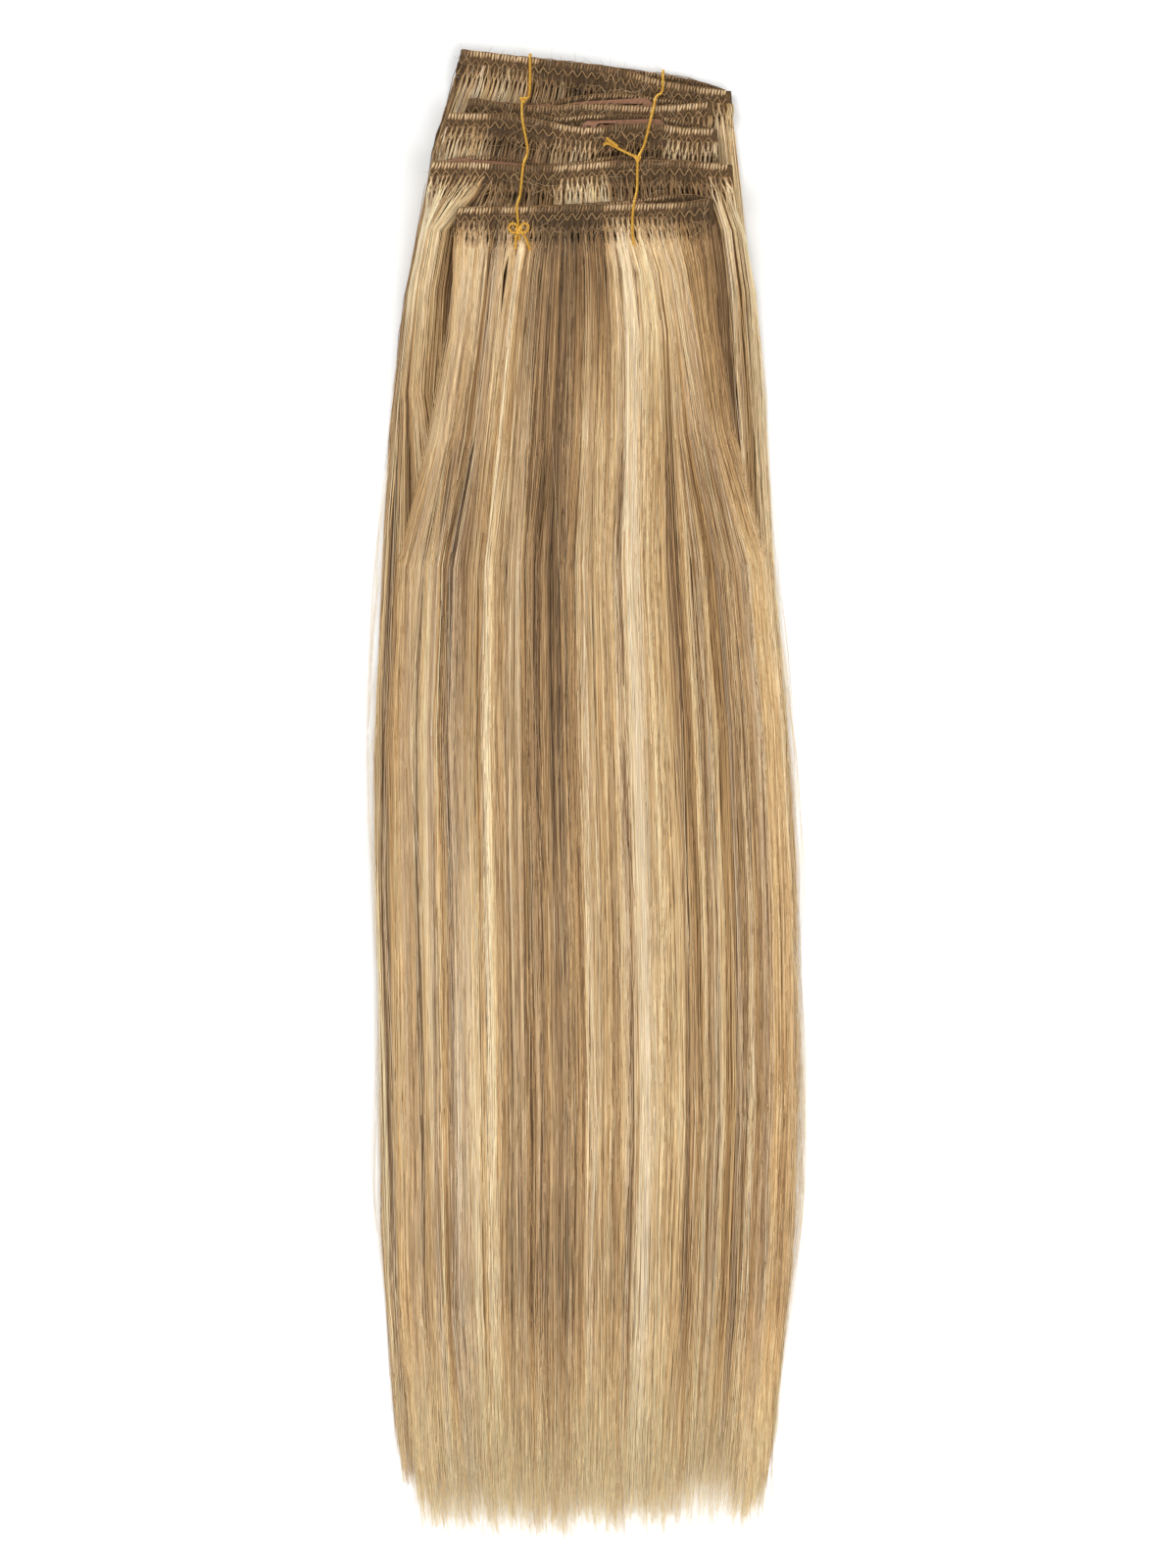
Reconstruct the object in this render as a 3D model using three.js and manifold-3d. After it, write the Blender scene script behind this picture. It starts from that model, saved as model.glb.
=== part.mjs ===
// A bundle of five clip-in hair wefts, each folded in half and tied with two fine metallic cords.
// It lies flat: X runs across the wefts, the hair runs along -Y from the bands to the tips, Z is up.
import * as THREE from 'three';
import Module from 'manifold-3d';
import { mergeVertices } from 'three/addons/utils/BufferGeometryUtils.js';

const wasm = await Module();
wasm.setup();

// Sizes of one weft, in millimetres
const HAIR_LENGTH = 497.5; // from the front weft's edge to its longest tip
const BAND_DEPTH = 9.6; // stitched band, from its bound edge to where the hair hangs free
const BAND_WALL = 1.1; // thickness of one layer of band
const FOLD_GAP = 1.6; // space between the two layers of a folded band
const TIP_WALL = 0.5; // thickness of the hair at its very ends

// Sizes of the bundle
const SPREAD = 162.8; // the hair at its widest
const STAIR = 62.5; // how far the front weft's edge lies below the rear one's corner
const TIP_STEP = 13.5; // how far each weft's tips reach past those of the weft behind it
const LOCKS = 10; // locks across the full width
const RIDGE = 0.34; // how much a lock swells above its neighbours, as a share of its thickness
const CROWN = 0.55; // how much thinner the bundle is at its two sides than in the middle
const SIDE_POWER = 3; // how late towards the sides that thinning comes

// Snap clips, cords and clearances
const CLIP_LENGTH = 32;
const CLIP_WIDTH = 8.4;
const CLIP_NOSE = 5.4; // width of the narrow end
const CLIP_PLATE = 1.0; // the closed clip, frame and tongue together
const CLIP_SLOT = 0.7; // gap cut round the tongue
const CLIP_TONGUE = 2.4;
const CLIP_EYE = 1.5; // hole that the clip is sewn on by
const CLIP_INSET = 0.8; // from the rear layer's bound edge down to the clip
const TURNED_RISE = 0.85; // how much higher a turned clip lies than the others
const CORD = 1.1;
const KNOT = 2.3;
const BOW_LOOP = 3.8; // a loop of the bow across the middle of its cord
const FRAYED = 1.5; // frayed end of the right cord
const CLEAR = 0.3;

const BAND_HEIGHT = 2 * BAND_WALL + FOLD_GAP;
const HALF_SPREAD = SPREAD / 2;
const LENGTH = STAIR + HAIR_LENGTH;
const TOP = LENGTH / 2;
const LIFT = CORD + 2 * CLEAR; // room under the bands for the cords
const COLUMNS = 2 * LOCKS;
const FOLD_REACH = BAND_HEIGHT / 2;

// The wefts from the rear one up. left and right are shares of HALF_SPREAD, dropLeft and dropRight
// shares of STAIR, skipLeft and skipRight how many columns of hair the weft lacks at its two sides,
// and clips shares of its width. turned is the side whose clip has its wide end at the left. Each
// row of edge is one place along the band: how far the bound edge of the front and the rear layer
// stands above the straight line between its ends, as shares of BAND_DEPTH.
const WEFTS = [
  {
    left: -0.586, right: 0.673, dropLeft: 0, dropRight: 0.266,
    skipLeft: 0, skipRight: 0, clips: [0.17, 0.53],
    edge: [
      { along: 0, front: 0, rear: 0 },
      { along: 0.25, front: 0.11, rear: 0.12 },
      { along: 0.47, front: 0.25, rear: 0.29 },
      { along: 0.62, front: 0.22, rear: 0.36 },
      { along: 0.78, front: 0.04, rear: 0.4 },
      { along: 0.92, front: 0.04, rear: 0.36 },
      { along: 1, front: 0.12, rear: 0.12 },
    ],
  },
  {
    left: -0.55, right: 0.582, dropLeft: 0.343, dropRight: 0.343,
    skipLeft: 2, skipRight: 2, clips: [0.2, 0.6],
    edge: [
      { along: 0, front: 0.24, rear: 0.25 },
      { along: 0.14, front: 0.04, rear: 0.08 },
      { along: 0.31, front: -0.13, rear: 0.04 },
      { along: 0.46, front: 0.02, rear: 0.36 },
      { along: 0.6, front: -0.04, rear: 0.46 },
      { along: 0.75, front: -0.11, rear: 0.32 },
      { along: 0.9, front: -0.02, rear: 0.15 },
      { along: 1, front: 0.06, rear: 0.06 },
    ],
  },
  {
    left: -0.641, right: 0.605, dropLeft: 0.426, dropRight: 0.509,
    skipLeft: 0, skipRight: 2, clips: [0.2, 0.665],
    edge: [
      { along: 0, front: 0.1, rear: 0.1 },
      { along: 0.24, front: 0.19, rear: 0.19 },
      { along: 0.41, front: -0.1, rear: 0.16 },
      { along: 0.53, front: -0.24, rear: 0.38 },
      { along: 0.7, front: 0.11, rear: 0.44 },
      { along: 0.82, front: 0.08, rear: 0.44 },
      { along: 0.92, front: -0.06, rear: 0.24 },
      { along: 1, front: 0.05, rear: 0.05 },
    ],
  },
  {
    left: -0.714, right: 0.673, dropLeft: 0.722, dropRight: 0.734,
    skipLeft: 0, skipRight: 0, clips: [0.19, 0.51], turned: 'left',
    edge: [
      { along: 0, front: 0.02, rear: 0.04 },
      { along: 0.09, front: 0.03, rear: 0.27 },
      { along: 0.19, front: 0.02, rear: 0.34 },
      { along: 0.29, front: -0.09, rear: 0.16 },
      { along: 0.42, front: -0.1, rear: -0.04 },
      { along: 0.6, front: 0.11, rear: 0.36 },
      { along: 0.8, front: 0.17, rear: 0.26 },
      { along: 1, front: 0.02, rear: 0.02 },
    ],
  },
  {
    left: -0.596, right: 0.582, dropLeft: 1, dropRight: 0.97,
    skipLeft: 2, skipRight: 2, clips: [0.22, 0.6],
    edge: [
      { along: 0, front: -0.02, rear: -0.02 },
      { along: 0.23, front: -0.03, rear: 0.05 },
      { along: 0.5, front: -0.02, rear: 0.06 },
      { along: 0.7, front: 0, rear: 0.19 },
      { along: 0.85, front: -0.01, rear: 0.37 },
      { along: 0.95, front: 0.05, rear: 0.38 },
      { along: 1, front: 0.15, rear: 0.15 },
    ],
  },
];

// Sections across all the hair, from the bands down. down is a share of LENGTH, left and right
// shares of HALF_SPREAD, bulk the thickness of one weft's hair as a share of BAND_HEIGHT, loose how
// far the locks and the rounded sides have come out, and ground whether the hair is down on the surface.
const SECTIONS = [
  { down: 0.081, left: -0.723, right: 0.7, bulk: 1, loose: 0, ground: false },
  { down: 0.1435, left: -0.8, right: 0.764, bulk: 1, loose: 0, ground: false },
  { down: 0.167, left: -0.841, right: 0.786, bulk: 0.95, loose: 0.3, ground: true },
  { down: 0.206, left: -0.878, right: 0.805, bulk: 0.87, loose: 0.75, ground: true },
  { down: 0.26, left: -0.918, right: 0.832, bulk: 0.79, loose: 1, ground: true },
  { down: 0.36, left: -0.95, right: 0.87, bulk: 0.71, loose: 1, ground: true },
  { down: 0.48, left: -1, right: 0.955, bulk: 0.66, loose: 1, ground: true },
  { down: 0.66, left: -0.99, right: 1, bulk: 0.59, loose: 1, ground: true },
  { down: 0.785, left: -0.966, right: 0.977, bulk: 0.47, loose: 1, ground: true },
  { down: 0.85, left: -0.932, right: 0.94, bulk: 0.34, loose: 1, ground: true },
];
const TIP_BULK = 0.22; // thickness where the first tips start, as bulk is
const TIP_SIDES = { first: 0.915, last: 0.81 }; // half width where the first and the last tips end

// One row for each lock: swell is how full it is, and short how far its tip stays behind, as
// shares of RIDGE and TIP_STEP. Each weft starts at another row.
const LOCK_SHAPES = [
  { swell: 0.7, short: 0.35 },
  { swell: 1, short: 0.1 },
  { swell: 0.4, short: 0.5 },
  { swell: 0.9, short: 0 },
  { swell: 0.6, short: 0.3 },
  { swell: 1, short: 0.15 },
  { swell: 0.5, short: 0.45 },
  { swell: 0.8, short: 0.05 },
  { swell: 0.3, short: 0.4 },
  { swell: 1, short: 0.2 },
];
const VALLEY = -0.5; // swell of the valley between two locks
const NOTCH = 0.8; // how far the notch between two tips cuts in, as a share of TIP_STEP
const LOCK_STRIDE = 5; // rows of LOCK_SHAPES from one weft to the next

// Routes of the two cords, chosen by hand: over the fronts of the bands, round the rear band's
// edge, back under the bundle and up through the hair. x and z in millimetres, y from the TOP.
const LEFT_ROUTE = [
  [-25.5, -70.4, 23.2], [-25.9, -66.5, 22.8], [-26.2, -63.1, 22.8], [-25.9, -60.7, 22.0],
  [-25.2, -58.2, 19.5], [-24.8, -55.0, 18.7], [-24.1, -47.8, 18.7], [-23.5, -44.6, 18.0],
  [-22.6, -41.8, 15.1], [-22.4, -38.5, 14.6], [-23.6, -32.0, 14.6], [-24.3, -27.6, 14.6],
  [-24.4, -24.4, 12.9], [-24.4, -22.0, 11.0], [-24.0, -19.9, 8.8], [-22.7, -18.9, 7.0],
  [-21.7, -16.4, 6.4], [-21.5, -4.4, 6.6], [-21.5, -1.7, 5.8], [-21.5, -1.0, 3.6],
  [-21.5, -1.8, 1.5], [-21.6, -4.8, 0.8], [-22.4, -22.0, 0.8], [-23.6, -42.0, 0.8],
  [-24.7, -60.0, 0.8], [-25.3, -70.4, 0.9], [-25.5, -73.8, 1.7], [-25.5, -74.9, 5.0],
  [-25.5, -75.0, 12.0], [-25.5, -75.0, 18.0], [-25.5, -74.6, 21.6], [-25.5, -72.8, 23.1],
];
const RIGHT_ROUTE = [
  [19.0, -43.7, 19.2], [18.9, -47.4, 18.7], [18.9, -53.0, 18.7], [18.7, -56.1, 19.6],
  [18.2, -58.6, 21.6], [17.6, -61.2, 22.8], [17.1, -65.5, 22.8], [17.0, -70.5, 22.8],
  [17.3, -74.8, 22.7], [17.7, -77.1, 21.0], [17.8, -77.6, 17.0], [17.8, -77.6, 10.0],
  [17.8, -77.5, 4.5], [17.8, -76.4, 1.8], [18.1, -73.0, 0.9], [20.2, -54.0, 0.8],
  [23.4, -34.0, 0.8], [26.8, -18.0, 0.8], [28.4, -10.2, 0.9], [28.9, -7.2, 1.7],
  [28.9, -6.7, 3.4], [28.9, -8.1, 5.4], [28.8, -11.2, 6.6], [28.7, -14.8, 6.5],
  [28.0, -17.0, 6.9], [26.6, -18.0, 8.4], [25.8, -20.0, 10.3], [25.3, -22.6, 11.3],
  [24.8, -25.1, 12.7],
  [24.1, -27.8, 14.0], [23.2, -31.4, 14.6], [21.6, -37.6, 14.7], [20.6, -40.2, 15.8],
  [19.7, -42.0, 17.8],
];
const LEFT_RISE = [-8]; // the stretch of each route that goes up through the hair
const RIGHT_RISE = [8, 15];
const LEFT_KNOT = [-24.1, -19.7, 8.6];
const RIGHT_KNOT = [19.0, -43.5, 19.3];
const LOOSE_END = [[18.6, -43.2, 19.3], [15.2, -41.4, 18.6], [11.4, -39.2, 16.9], [6.9, -36.6, 15.0]];
const BOW_KNOT = [-25.5, -71.1, 23.4];
const BOW_LOOPS = [[-28.0, -70.0, 23.6], [-23.1, -69.7, 23.6]];
const BOW_TAILS = [
  [[-25.9, -71.6, 23.3], [-26.8, -74.4, 23.0], [-26.7, -78.2, 22.8]],
  [[-24.9, -71.6, 23.3], [-22.7, -74.4, 23.0], [-21.3, -78.6, 22.8]],
];

// Fineness of the faceted curves
const CORD_SIDES = 8;
const CORD_STEP = 3.3; // length of one step of a cord's tube
const FOLD_STATIONS = 5;
const CLIP_CURVE_STEPS = 4;
const BALL_SIDES = 8;
const BALL_RINGS = 5;
const LOOP_SIDES = 6;
const LOOP_STEPS = 11;
const WELD = 1e-5; // corners of a mesh closer than this are one

const material = (name, color, roughness, metalness) =>
  new THREE.MeshStandardMaterial({ name, color, roughness, metalness });
const HAIR = [
  material('hair_1', 0xb08a5a, 0.5, 0),
  material('hair_2', 0xa98355, 0.5, 0),
  material('hair_3', 0xbd9867, 0.5, 0),
  material('hair_4', 0xc7a676, 0.5, 0),
  material('hair_5', 0xc4a071, 0.5, 0),
];
const BAND = material('band', 0x735a3e, 0.8, 0);
const CLIP = material('clip', 0x9a6850, 0.35, 0.6);
const GOLD = material('gold_cord', 0xd9a520, 0.35, 0.8);

const lerp = THREE.MathUtils.lerp;

// Value of one column of an edge table at a place between its rows.
function between(rows, along, column) {
  const next = rows.findIndex((row, k) => k > 0 && row.along >= along);
  const [a, b] = [rows[next - 1], rows[next]];
  return lerp(a[column], b[column], (along - a.along) / (b.along - a.along));
}

const bandZ = (index) => LIFT + index * (BAND_HEIGHT + CLEAR);

// Place across of a share of a band's flat layers, which end where the fold begins.
const bandX = (weft, along) =>
  lerp(HALF_SPREAD * weft.left, HALF_SPREAD * weft.right - FOLD_REACH, along);

// Height along Y of a band's bound edge; layer is 'front' or 'rear'.
function edgeY(weft, along, layer) {
  const line = TOP - STAIR * lerp(weft.dropLeft, weft.dropRight, along);
  return line + BAND_DEPTH * between(weft.edge, along, layer);
}

const lastColumn = (weft) => COLUMNS - weft.skipRight;

// Straight stretches of a band, one for every two columns of its hair.
const stretches = (weft) => (lastColumn(weft) - weft.skipLeft) / 2;

// Where the hair starts at a place in stretches, just below both layers of its band.
function rootY(weft, place) {
  const lower = (stretch) => {
    const along = stretch / stretches(weft);
    return Math.min(edgeY(weft, along, 'front'), edgeY(weft, along, 'rear')) - BAND_DEPTH - CLEAR;
  };
  return (lower(Math.floor(place)) + lower(Math.ceil(place))) / 2;
}

function indexed(points, triangles) {
  const geometry = new THREE.BufferGeometry();
  geometry.setAttribute('position', new THREE.Float32BufferAttribute(points.flat(), 3));
  geometry.setIndex(triangles.flat());
  geometry.computeVertexNormals();
  return geometry;
}

// Closed solid between an upper and a lower sheet of points, given as rows along -Y of columns
// along +X, each { x, y, top, bottom }.
function slab(rows) {
  const [count, width] = [rows.length, rows[0].length];
  const cells = rows.flat();
  const points = [
    ...cells.map((p) => [p.x, p.y, p.top]),
    ...cells.map((p) => [p.x, p.y, p.bottom]),
  ];
  const upper = (r, c) => r * width + c;
  const lower = (r, c) => cells.length + upper(r, c);
  const triangles = [];
  const wall = (a, b) => {
    const [ua, ub, la, lb] = [upper(...a), upper(...b), lower(...a), lower(...b)];
    triangles.push([ua, la, ub], [ub, la, lb]);
  };
  for (let r = 0; r < count - 1; r += 1) {
    for (let c = 0; c < width - 1; c += 1) {
      const corners = [[r, c], [r + 1, c], [r, c + 1], [r + 1, c + 1]];
      const [a, b, d, e] = corners.map((at) => upper(...at));
      const [f, g, h, k] = corners.map((at) => lower(...at));
      triangles.push([a, b, d], [d, b, e], [f, h, g], [h, k, g]);
    }
    wall([r, 0], [r + 1, 0]);
    wall([r + 1, width - 1], [r, width - 1]);
  }
  for (let c = 0; c < width - 1; c += 1) {
    wall([0, c + 1], [0, c]);
    wall([count - 1, c], [count - 1, c + 1]);
  }
  return indexed(points, triangles);
}

// Closed solid through rings of equally many points, with flat ends.
function skin(rings) {
  const size = rings[0].length;
  const triangles = [];
  for (let r = 0; r < rings.length - 1; r += 1) {
    for (let k = 0; k < size; k += 1) {
      const [a, b] = [r * size + k, r * size + ((k + 1) % size)];
      triangles.push([a, a + size, b], [b, a + size, b + size]);
    }
  }
  const end = (rings.length - 1) * size;
  for (let k = 1; k < size - 1; k += 1) {
    triangles.push([0, k, k + 1], [end, end + k + 1, end + k]);
  }
  return indexed(rings.flat(), triangles);
}

function solid(geometry) {
  const bare = geometry.clone();
  bare.deleteAttribute('normal');
  bare.deleteAttribute('uv');
  const merged = mergeVertices(bare, WELD);
  return new wasm.Manifold(new wasm.Mesh({
    numProp: 3,
    vertProperties: new Float32Array(merged.attributes.position.array),
    triVerts: new Uint32Array(merged.index.array),
  }));
}

function geometryOf(body) {
  const mesh = body.getMesh();
  const geometry = new THREE.BufferGeometry();
  geometry.setAttribute('position', new THREE.BufferAttribute(mesh.vertProperties, 3));
  geometry.setIndex(new THREE.BufferAttribute(mesh.triVerts, 1));
  geometry.computeVertexNormals();
  return geometry;
}

const fromTop = ([x, y, z]) => [x, TOP + y, z];

// Round tube along a smooth curve through the given points of a route.
function tube(points, diameter) {
  const corners = points.map((p) => new THREE.Vector3(...fromTop(p)));
  const extrudePath = new THREE.CatmullRomCurve3(corners, false, 'centripetal');
  const ring = new THREE.EllipseCurve(0, 0, diameter / 2, diameter / 2).getPoints(CORD_SIDES);
  const circle = new THREE.Shape(ring.slice(0, -1));
  const steps = Math.ceil(extrudePath.getLength() / CORD_STEP);
  return new THREE.ExtrudeGeometry(circle, { steps, extrudePath, bevelEnabled: false });
}

// Section of a band layer: depth below the bound edge and half thickness, as shares of
// BAND_DEPTH and of half of BAND_WALL. The binding makes the edge the thickest part.
const BAND_SECTION = [
  { depth: 0, half: 0.6 },
  { depth: 0.08, half: 1 },
  { depth: 1, half: 0.7 },
];

// Places along a folded band, from the rear layer's open end round the fold to the front layer's:
// along is the share of its width, turn goes from 0 on the rear layer to 1 on the front layer.
function foldPath(weft) {
  const flat = Array.from({ length: stretches(weft) }, (_, k) => k / stretches(weft));
  const round = Array.from({ length: FOLD_STATIONS }, (_, k) => k / (FOLD_STATIONS - 1));
  return [
    ...flat.map((along) => ({ along, turn: 0 })),
    ...round.map((turn) => ({ along: 1, turn })),
    ...flat.reverse().map((along) => ({ along, turn: 1 })),
  ];
}

function bandGeometry(weft, index) {
  const radius = (BAND_HEIGHT - BAND_WALL) / 2;
  const middle = bandZ(index) + BAND_HEIGHT / 2;
  const rings = foldPath(weft).map(({ along, turn }) => {
    const angle = Math.PI * (turn - 0.5);
    const x = bandX(weft, along);
    const edge = lerp(edgeY(weft, along, 'rear'), edgeY(weft, along, 'front'), turn);
    const place = (side, { depth, half }) => {
      const out = radius + (side * half * BAND_WALL) / 2;
      return [x + Math.cos(angle) * out, edge - depth * BAND_DEPTH, middle + Math.sin(angle) * out];
    };
    return [
      ...BAND_SECTION.map((row) => place(1, row)),
      ...BAND_SECTION.toReversed().map((row) => place(-1, row)),
    ];
  });
  return skin(rings);
}

const isCrest = (column) => column % 2 === 1;
const lockOf = (index, column) =>
  LOCK_SHAPES[(Math.floor(column / 2) + index * LOCK_STRIDE) % LOCK_SHAPES.length];

// Thickness of one weft's hair at a column of a section, more at the crest of a lock.
function hairWall(index, column, section) {
  const ridge = isCrest(column) ? lockOf(index, column).swell : VALLEY;
  const side = Math.abs((2 * column) / COLUMNS - 1) ** SIDE_POWER;
  const form = 1 + section.loose * (RIDGE * ridge - CROWN * side);
  return BAND_HEIGHT * section.bulk * form;
}

// The sections that all the wefts share: the free hair, then one where each weft's tips end.
// tips counts the wefts that end there or above.
function sections() {
  const hair = SECTIONS.map((row) => ({ ...row, y: TOP - row.down * LENGTH, tips: -1 }));
  const tips = Array.from({ length: WEFTS.length + 1 }, (_, k) => {
    const side = lerp(TIP_SIDES.first, TIP_SIDES.last, k / WEFTS.length);
    const y = -TOP + (WEFTS.length - k) * TIP_STEP;
    return { y, left: -side, right: side, bulk: TIP_BULK, loose: 1, ground: true, tips: k };
  });
  return [...hair, ...tips];
}

// Upper and lower face of a weft's hair at a column of a section, on the hair that lies below it.
function faces(index, column, section) {
  let top = section.ground ? 0 : LIFT;
  let bottom = top;
  for (let i = 0; i <= index; i += 1) {
    const reaches = column >= WEFTS[i].skipLeft && column <= lastColumn(WEFTS[i]);
    if ((reaches || !section.ground) && section.tips <= i + 1) {
      bottom = i === 0 ? top : top + CLEAR;
      top = bottom + (section.tips === i + 1 ? TIP_WALL : hairWall(i, column, section));
    }
  }
  return { top, bottom };
}

// How far a column's tip stays behind the end of its weft.
const tipCut = (index, column) =>
  TIP_STEP * (isCrest(column) ? lockOf(index, column).short : NOTCH);

function hairGeometry(weft, index) {
  const columns = Array.from({ length: 2 * stretches(weft) + 1 }, (_, k) => weft.skipLeft + k);
  const bottom = bandZ(index);
  const top = bottom + BAND_HEIGHT;
  const root = columns.map((column, k) => (
    { x: bandX(weft, k / (columns.length - 1)), y: rootY(weft, k / 2), top, bottom }
  ));
  const start = Math.min(...root.map((p) => p.y)) - BAND_DEPTH / 2;
  const below = sections().filter((section) => section.y < start && section.tips <= index + 1);
  const rows = below.map((section) => columns.map((column) => {
    const x = HALF_SPREAD * lerp(section.left, section.right, column / COLUMNS);
    const y = section.y + (section.tips === index + 1 ? tipCut(index, column) : 0);
    return { x, y, ...faces(index, column, section) };
  }));
  return slab([root, ...rows]);
}

// Closed snap clip: a drop-shaped frame with a tongue cut free in it and an eye in its nose.
function clipGeometry() {
  const [wide, nose] = [CLIP_WIDTH / 2, CLIP_NOSE / 2];
  const [tail, tip] = [CLIP_LENGTH / 2 - wide, nose - CLIP_LENGTH / 2];
  const plate = new THREE.Shape();
  plate.absarc(tail, 0, wide, -Math.PI / 2, Math.PI / 2, false);
  plate.absarc(tip, 0, nose, Math.PI / 2, (3 * Math.PI) / 2, false);
  const inner = CLIP_TONGUE / 2;
  const outer = inner + CLIP_SLOT;
  const slot = new THREE.Path();
  const [open, bend] = [tail, tip + nose + outer];
  slot.moveTo(open, outer);
  slot.lineTo(bend, outer);
  slot.absarc(bend, 0, outer, Math.PI / 2, (3 * Math.PI) / 2, false);
  slot.lineTo(open, -outer);
  slot.lineTo(open, -inner);
  slot.lineTo(bend, -inner);
  slot.absarc(bend, 0, inner, (3 * Math.PI) / 2, Math.PI / 2, true);
  slot.lineTo(open, inner);
  const eye = new THREE.Path();
  eye.absarc(tip, 0, CLIP_EYE / 2, 0, 2 * Math.PI, true);
  plate.holes.push(slot, eye);
  const shape = { depth: CLIP_PLATE, bevelEnabled: false, curveSegments: CLIP_CURVE_STEPS };
  return new THREE.ExtrudeGeometry(plate, shape);
}

const ball = (at, diameter) =>
  new THREE.SphereGeometry(diameter / 2, BALL_SIDES, BALL_RINGS).translate(...fromTop(at));

// A loop of the bow, as a ring that runs through the knot.
const bowLoop = (at) =>
  new THREE.TorusGeometry(BOW_LOOP / 2, CORD / 2, LOOP_SIDES, LOOP_STEPS)
    .translate(...fromTop(at));

const fused = (pieces) => pieces.map(solid).reduce((body, piece) => body.add(piece));
const cordTube = (points) => tube(points, CORD);

function leftCord() {
  return geometryOf(fused([
    cordTube(LEFT_ROUTE),
    ball(LEFT_KNOT, KNOT),
    ball(BOW_KNOT, KNOT),
    ...BOW_LOOPS.map(bowLoop),
    ...BOW_TAILS.map(cordTube),
  ]));
}

function rightCord() {
  return geometryOf(fused([
    cordTube([...RIGHT_ROUTE, RIGHT_ROUTE[0]]),
    ball(RIGHT_KNOT, KNOT),
    cordTube(LOOSE_END),
    ball(LOOSE_END.at(-1), FRAYED),
  ]));
}

// The holes that the cords pull through the hair.
const HOLES = [LEFT_ROUTE.slice(...LEFT_RISE), RIGHT_ROUTE.slice(...RIGHT_RISE)].map((route) =>
  solid(tube(route, CORD + 2 * CLEAR)));

const bundle = new THREE.Group();
bundle.name = 'hair_bundle';

function place(name, geometry, look) {
  const mesh = new THREE.Mesh(geometry, look);
  mesh.name = name;
  bundle.add(mesh);
  return mesh;
}

// A clip lies in the fold, along the rear layer's bound edge and just under it.
function placeClip(weft, index, along, side) {
  const half = CLIP_LENGTH / 2 / (bandX(weft, 1) - bandX(weft, 0));
  const [start, middle, end] = [-half, 0, half].map((k) => edgeY(weft, along + k, 'rear'));
  const y = (middle + (start + end) / 2) / 2 - CLIP_INSET - CLIP_WIDTH / 2;
  const z = bandZ(index) + BAND_WALL + (FOLD_GAP - CLIP_PLATE) / 2;
  const turned = weft.turned === side;
  const clip = place(`clip_${index + 1}_${side}`, clipGeometry(), CLIP);
  clip.position.set(bandX(weft, along), y + (turned ? TURNED_RISE : 0), z);
  clip.rotation.z = Math.atan2(end - start, CLIP_LENGTH) + (turned ? Math.PI : 0);
}

WEFTS.forEach((weft, index) => {
  const whole = solid(hairGeometry(weft, index));
  const hair = HOLES.reduce((body, hole) => body.subtract(hole), whole);
  place(`weft_band_${index + 1}`, bandGeometry(weft, index), BAND);
  place(`hair_${index + 1}`, geometryOf(hair), HAIR[index]);
  placeClip(weft, index, weft.clips[0], 'left');
  placeClip(weft, index, weft.clips[1], 'right');
});
place('tie_cord_left', leftCord(), GOLD);
place('tie_cord_right', rightCord(), GOLD);

export default bundle;
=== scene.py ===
"""Looks for a bundle of five clip-in hair wefts, folded in half and tied with two gold cords.

X runs across the wefts, the hair runs along -Y from the bands to the tips, and Z is up. Sizes
named in millimetres are turned to metres by MM where a mesh is made.
"""

from __future__ import annotations

import logging
import math
from collections.abc import Sequence
from dataclasses import dataclass
from enum import Enum

import bpy
import numpy as np
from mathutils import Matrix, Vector
from mathutils.bvhtree import BVHTree

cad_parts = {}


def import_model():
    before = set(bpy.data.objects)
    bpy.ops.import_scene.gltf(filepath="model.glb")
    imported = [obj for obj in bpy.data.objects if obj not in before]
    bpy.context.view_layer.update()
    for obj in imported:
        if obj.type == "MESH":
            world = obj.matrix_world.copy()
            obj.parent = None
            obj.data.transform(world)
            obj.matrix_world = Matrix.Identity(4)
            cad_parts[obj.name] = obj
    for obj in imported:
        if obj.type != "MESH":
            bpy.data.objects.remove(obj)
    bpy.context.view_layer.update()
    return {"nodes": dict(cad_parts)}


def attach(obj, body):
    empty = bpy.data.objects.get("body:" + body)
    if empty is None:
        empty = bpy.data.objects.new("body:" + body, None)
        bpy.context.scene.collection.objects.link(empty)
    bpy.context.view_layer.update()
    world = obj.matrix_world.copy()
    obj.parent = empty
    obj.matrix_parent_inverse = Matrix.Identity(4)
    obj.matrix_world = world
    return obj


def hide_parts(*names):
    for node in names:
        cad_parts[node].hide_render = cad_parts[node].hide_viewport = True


LOG = logging.getLogger("hair_bundle")
MM = 0.001
BODY = "root"
DARKEST = 0.02
BAKE_MAP = "OFBake"
Array = np.ndarray
Colour = tuple[float, float, float]


# The bundle's measures


class Layer(Enum):
    """One of the two layers of a folded band."""

    FRONT = "front"
    REAR = "rear"


@dataclass(frozen=True)
class EdgeRow:
    """Height of a band's bound edges above its straight line, as shares of the band's depth."""

    along: float
    front: float
    rear: float


@dataclass(frozen=True)
class FlowRow:
    """Where hair from one place of a band lies across the bundle, high up and low down."""

    along: float
    middle: float
    low: float


@dataclass(frozen=True)
class ToneRow:
    """How pale the hair is at one place, from 0 for dark brown to 1 for pale blonde."""

    at: float
    tone: float


@dataclass(frozen=True)
class StreakRow:
    """How pale the bundle is at one place across it, in its upper and its lower half."""

    at: float
    upper: float
    lower: float


@dataclass(frozen=True)
class SideRow:
    """The two sides of the hair at one place down the bundle, as shares of half its width."""

    down: float
    left: float
    right: float


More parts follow.
